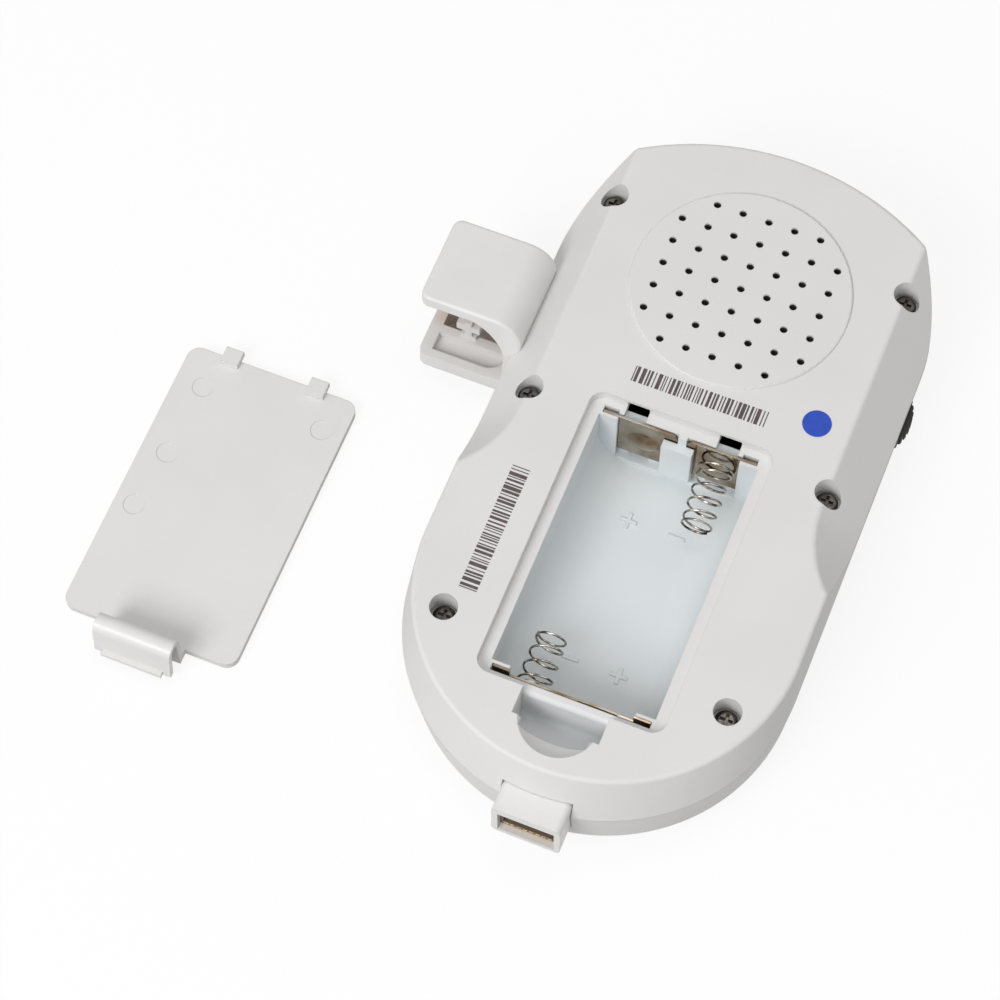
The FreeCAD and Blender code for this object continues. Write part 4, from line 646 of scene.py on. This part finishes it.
def paper_floor():
    """Matt paper: pale grey to the light that it throws back, but seen as white, with part of its
    shading veiled so that shadows stay faint."""
    s = settings("stage")
    material, tree, shader, where = begin("white_paper_floor", IOR=1.45)
    seen = seen_share(tree)
    paper = add(tree, "ShaderNodeMix", {SHARE: seen, FIRST: s.floor, SECOND: WHITE},
                data_type="RGBA").outputs[MIXED]
    skin(tree, shader, where, (paper, paper), lump=90 * MM, grain=1 * MM, rough=(0.85, 0.95),
         relief=0.01 * MM)
    glow = add(tree, "ShaderNodeEmission", {"Color": WHITE, "Strength": 1.0})
    share = add(tree, "ShaderNodeMath", {0: seen, 1: s.veil}, operation="MULTIPLY")
    mixed = add(tree, "ShaderNodeMixShader",
                {0: share.outputs[0], 1: shader.outputs[0], 2: glow.outputs[0]})
    connect(tree, tree.nodes["Material Output"], {"Surface": mixed.outputs[0]})
    return material


def make_floor(scene):
    """The floor, a square sheet just under the resting plane."""
    r, z = FLOOR_REACH, -FLOOR_DROP
    mesh = quad_mesh("floor", np.array([[[-r, -r, z], [r, -r, z], [r, r, z], [-r, r, z]]]))
    mesh.materials.append(paper_floor())
    floor = bpy.data.objects.new("floor", mesh)
    scene.collection.objects.link(floor)


def soft_lamp(scene, name, power, place):
    """A square soft lamp that looks at the origin."""
    data = bpy.data.lights.new(name, "AREA")
    data.shape = "SQUARE"
    data.size = settings("stage").lamp_size
    data.energy = power
    lamp = bpy.data.objects.new(name, data)
    scene.collection.objects.link(lamp)
    lamp.location = place
    lamp.rotation_euler = (-lamp.location).to_track_quat("-Z", "Y").to_euler()


def make_light(scene):
    """A soft lamp beyond the socket end, one overhead, and an even world that is seen as white."""
    s = settings("stage")
    soft_lamp(scene, "main_lamp", s.key, MAIN_LAMP_PLACE)
    soft_lamp(scene, "top_lamp", s.top, TOP_LAMP_PLACE)
    world = bpy.data.worlds.new("soft_world")
    scene.world = world
    world.use_nodes = True
    tree = world.node_tree
    strength = add(tree, "ShaderNodeMapRange", {"Value": seen_share(tree), "To Min": s.world})
    connect(tree, tree.nodes["Background"], {"Color": WHITE, "Strength": strength.outputs[0]})


def make_camera(scene):
    """The camera above the right of the socket end, looking down at the back."""
    data = bpy.data.cameras.new("camera")
    data.lens = settings("stage").lens
    data.sensor_width = SENSOR_WIDTH
    data.sensor_fit = "HORIZONTAL"
    camera = bpy.data.objects.new("camera", data)
    scene.collection.objects.link(camera)
    right, up = Vector(CAMERA_RIGHT), Vector(CAMERA_UP)
    turn = Matrix((right, up, right.cross(up))).transposed().to_4x4()
    camera.matrix_world = Matrix.Translation(CAMERA_PLACE) @ turn
    scene.camera = camera


class DopplerStage(bpy.types.Operator):
    """Set the floor, the light and the camera"""

    bl_idname = "doppler.stage"
    bl_label = "Stage"

    def execute(self, context):
        make_floor(context.scene)
        make_light(context.scene)
        make_camera(context.scene)
        context.scene.view_settings.view_transform = "Standard"
        return {"FINISHED"}


class DopplerPanel(bpy.types.Panel):
    """Lists the steps that dress the monitor and their settings"""

    bl_idname = "VIEW3D_PT_doppler"
    bl_label = "Doppler monitor"
    bl_space_type = "VIEW_3D"
    bl_region_type = "UI"
    bl_category = "Doppler"

    def draw(self, context):
        for step in STEPS:
            self.layout.operator(step.bl_idname)
        for group, name in GROUPS.items():
            for field in group.__annotations__:
                self.layout.prop(settings(name), field)


GROUPS = {
    DopplerPlasticSettings: "plastic",
    DopplerMetalSettings: "metal",
    DopplerPrintSettings: "print",
    DopplerStageSettings: "stage",
}
STEPS = (DopplerCase, DopplerIvory, DopplerContacts, DopplerScrews, DopplerWheel, DopplerMarks,
         DopplerFront, DopplerInside, DopplerStage)


def register():
    """Registers the settings, the steps and the panel."""
    for group, name in GROUPS.items():
        bpy.utils.register_class(group)
        setattr(bpy.types.Scene, "doppler_" + name, PointerProperty(type=group))
    for step in STEPS:
        bpy.utils.register_class(step)
    bpy.utils.register_class(DopplerPanel)


def unregister():
    """Takes them away again."""
    bpy.utils.unregister_class(DopplerPanel)
    for step in reversed(STEPS):
        bpy.utils.unregister_class(step)
    for group, name in reversed(list(GROUPS.items())):
        delattr(bpy.types.Scene, "doppler_" + name)
        bpy.utils.unregister_class(group)


def main():
    register()
    for step in STEPS:
        group, name = step.bl_idname.split(".")
        getattr(getattr(bpy.ops, group), name)()


if __name__ == "__main__":
    main()
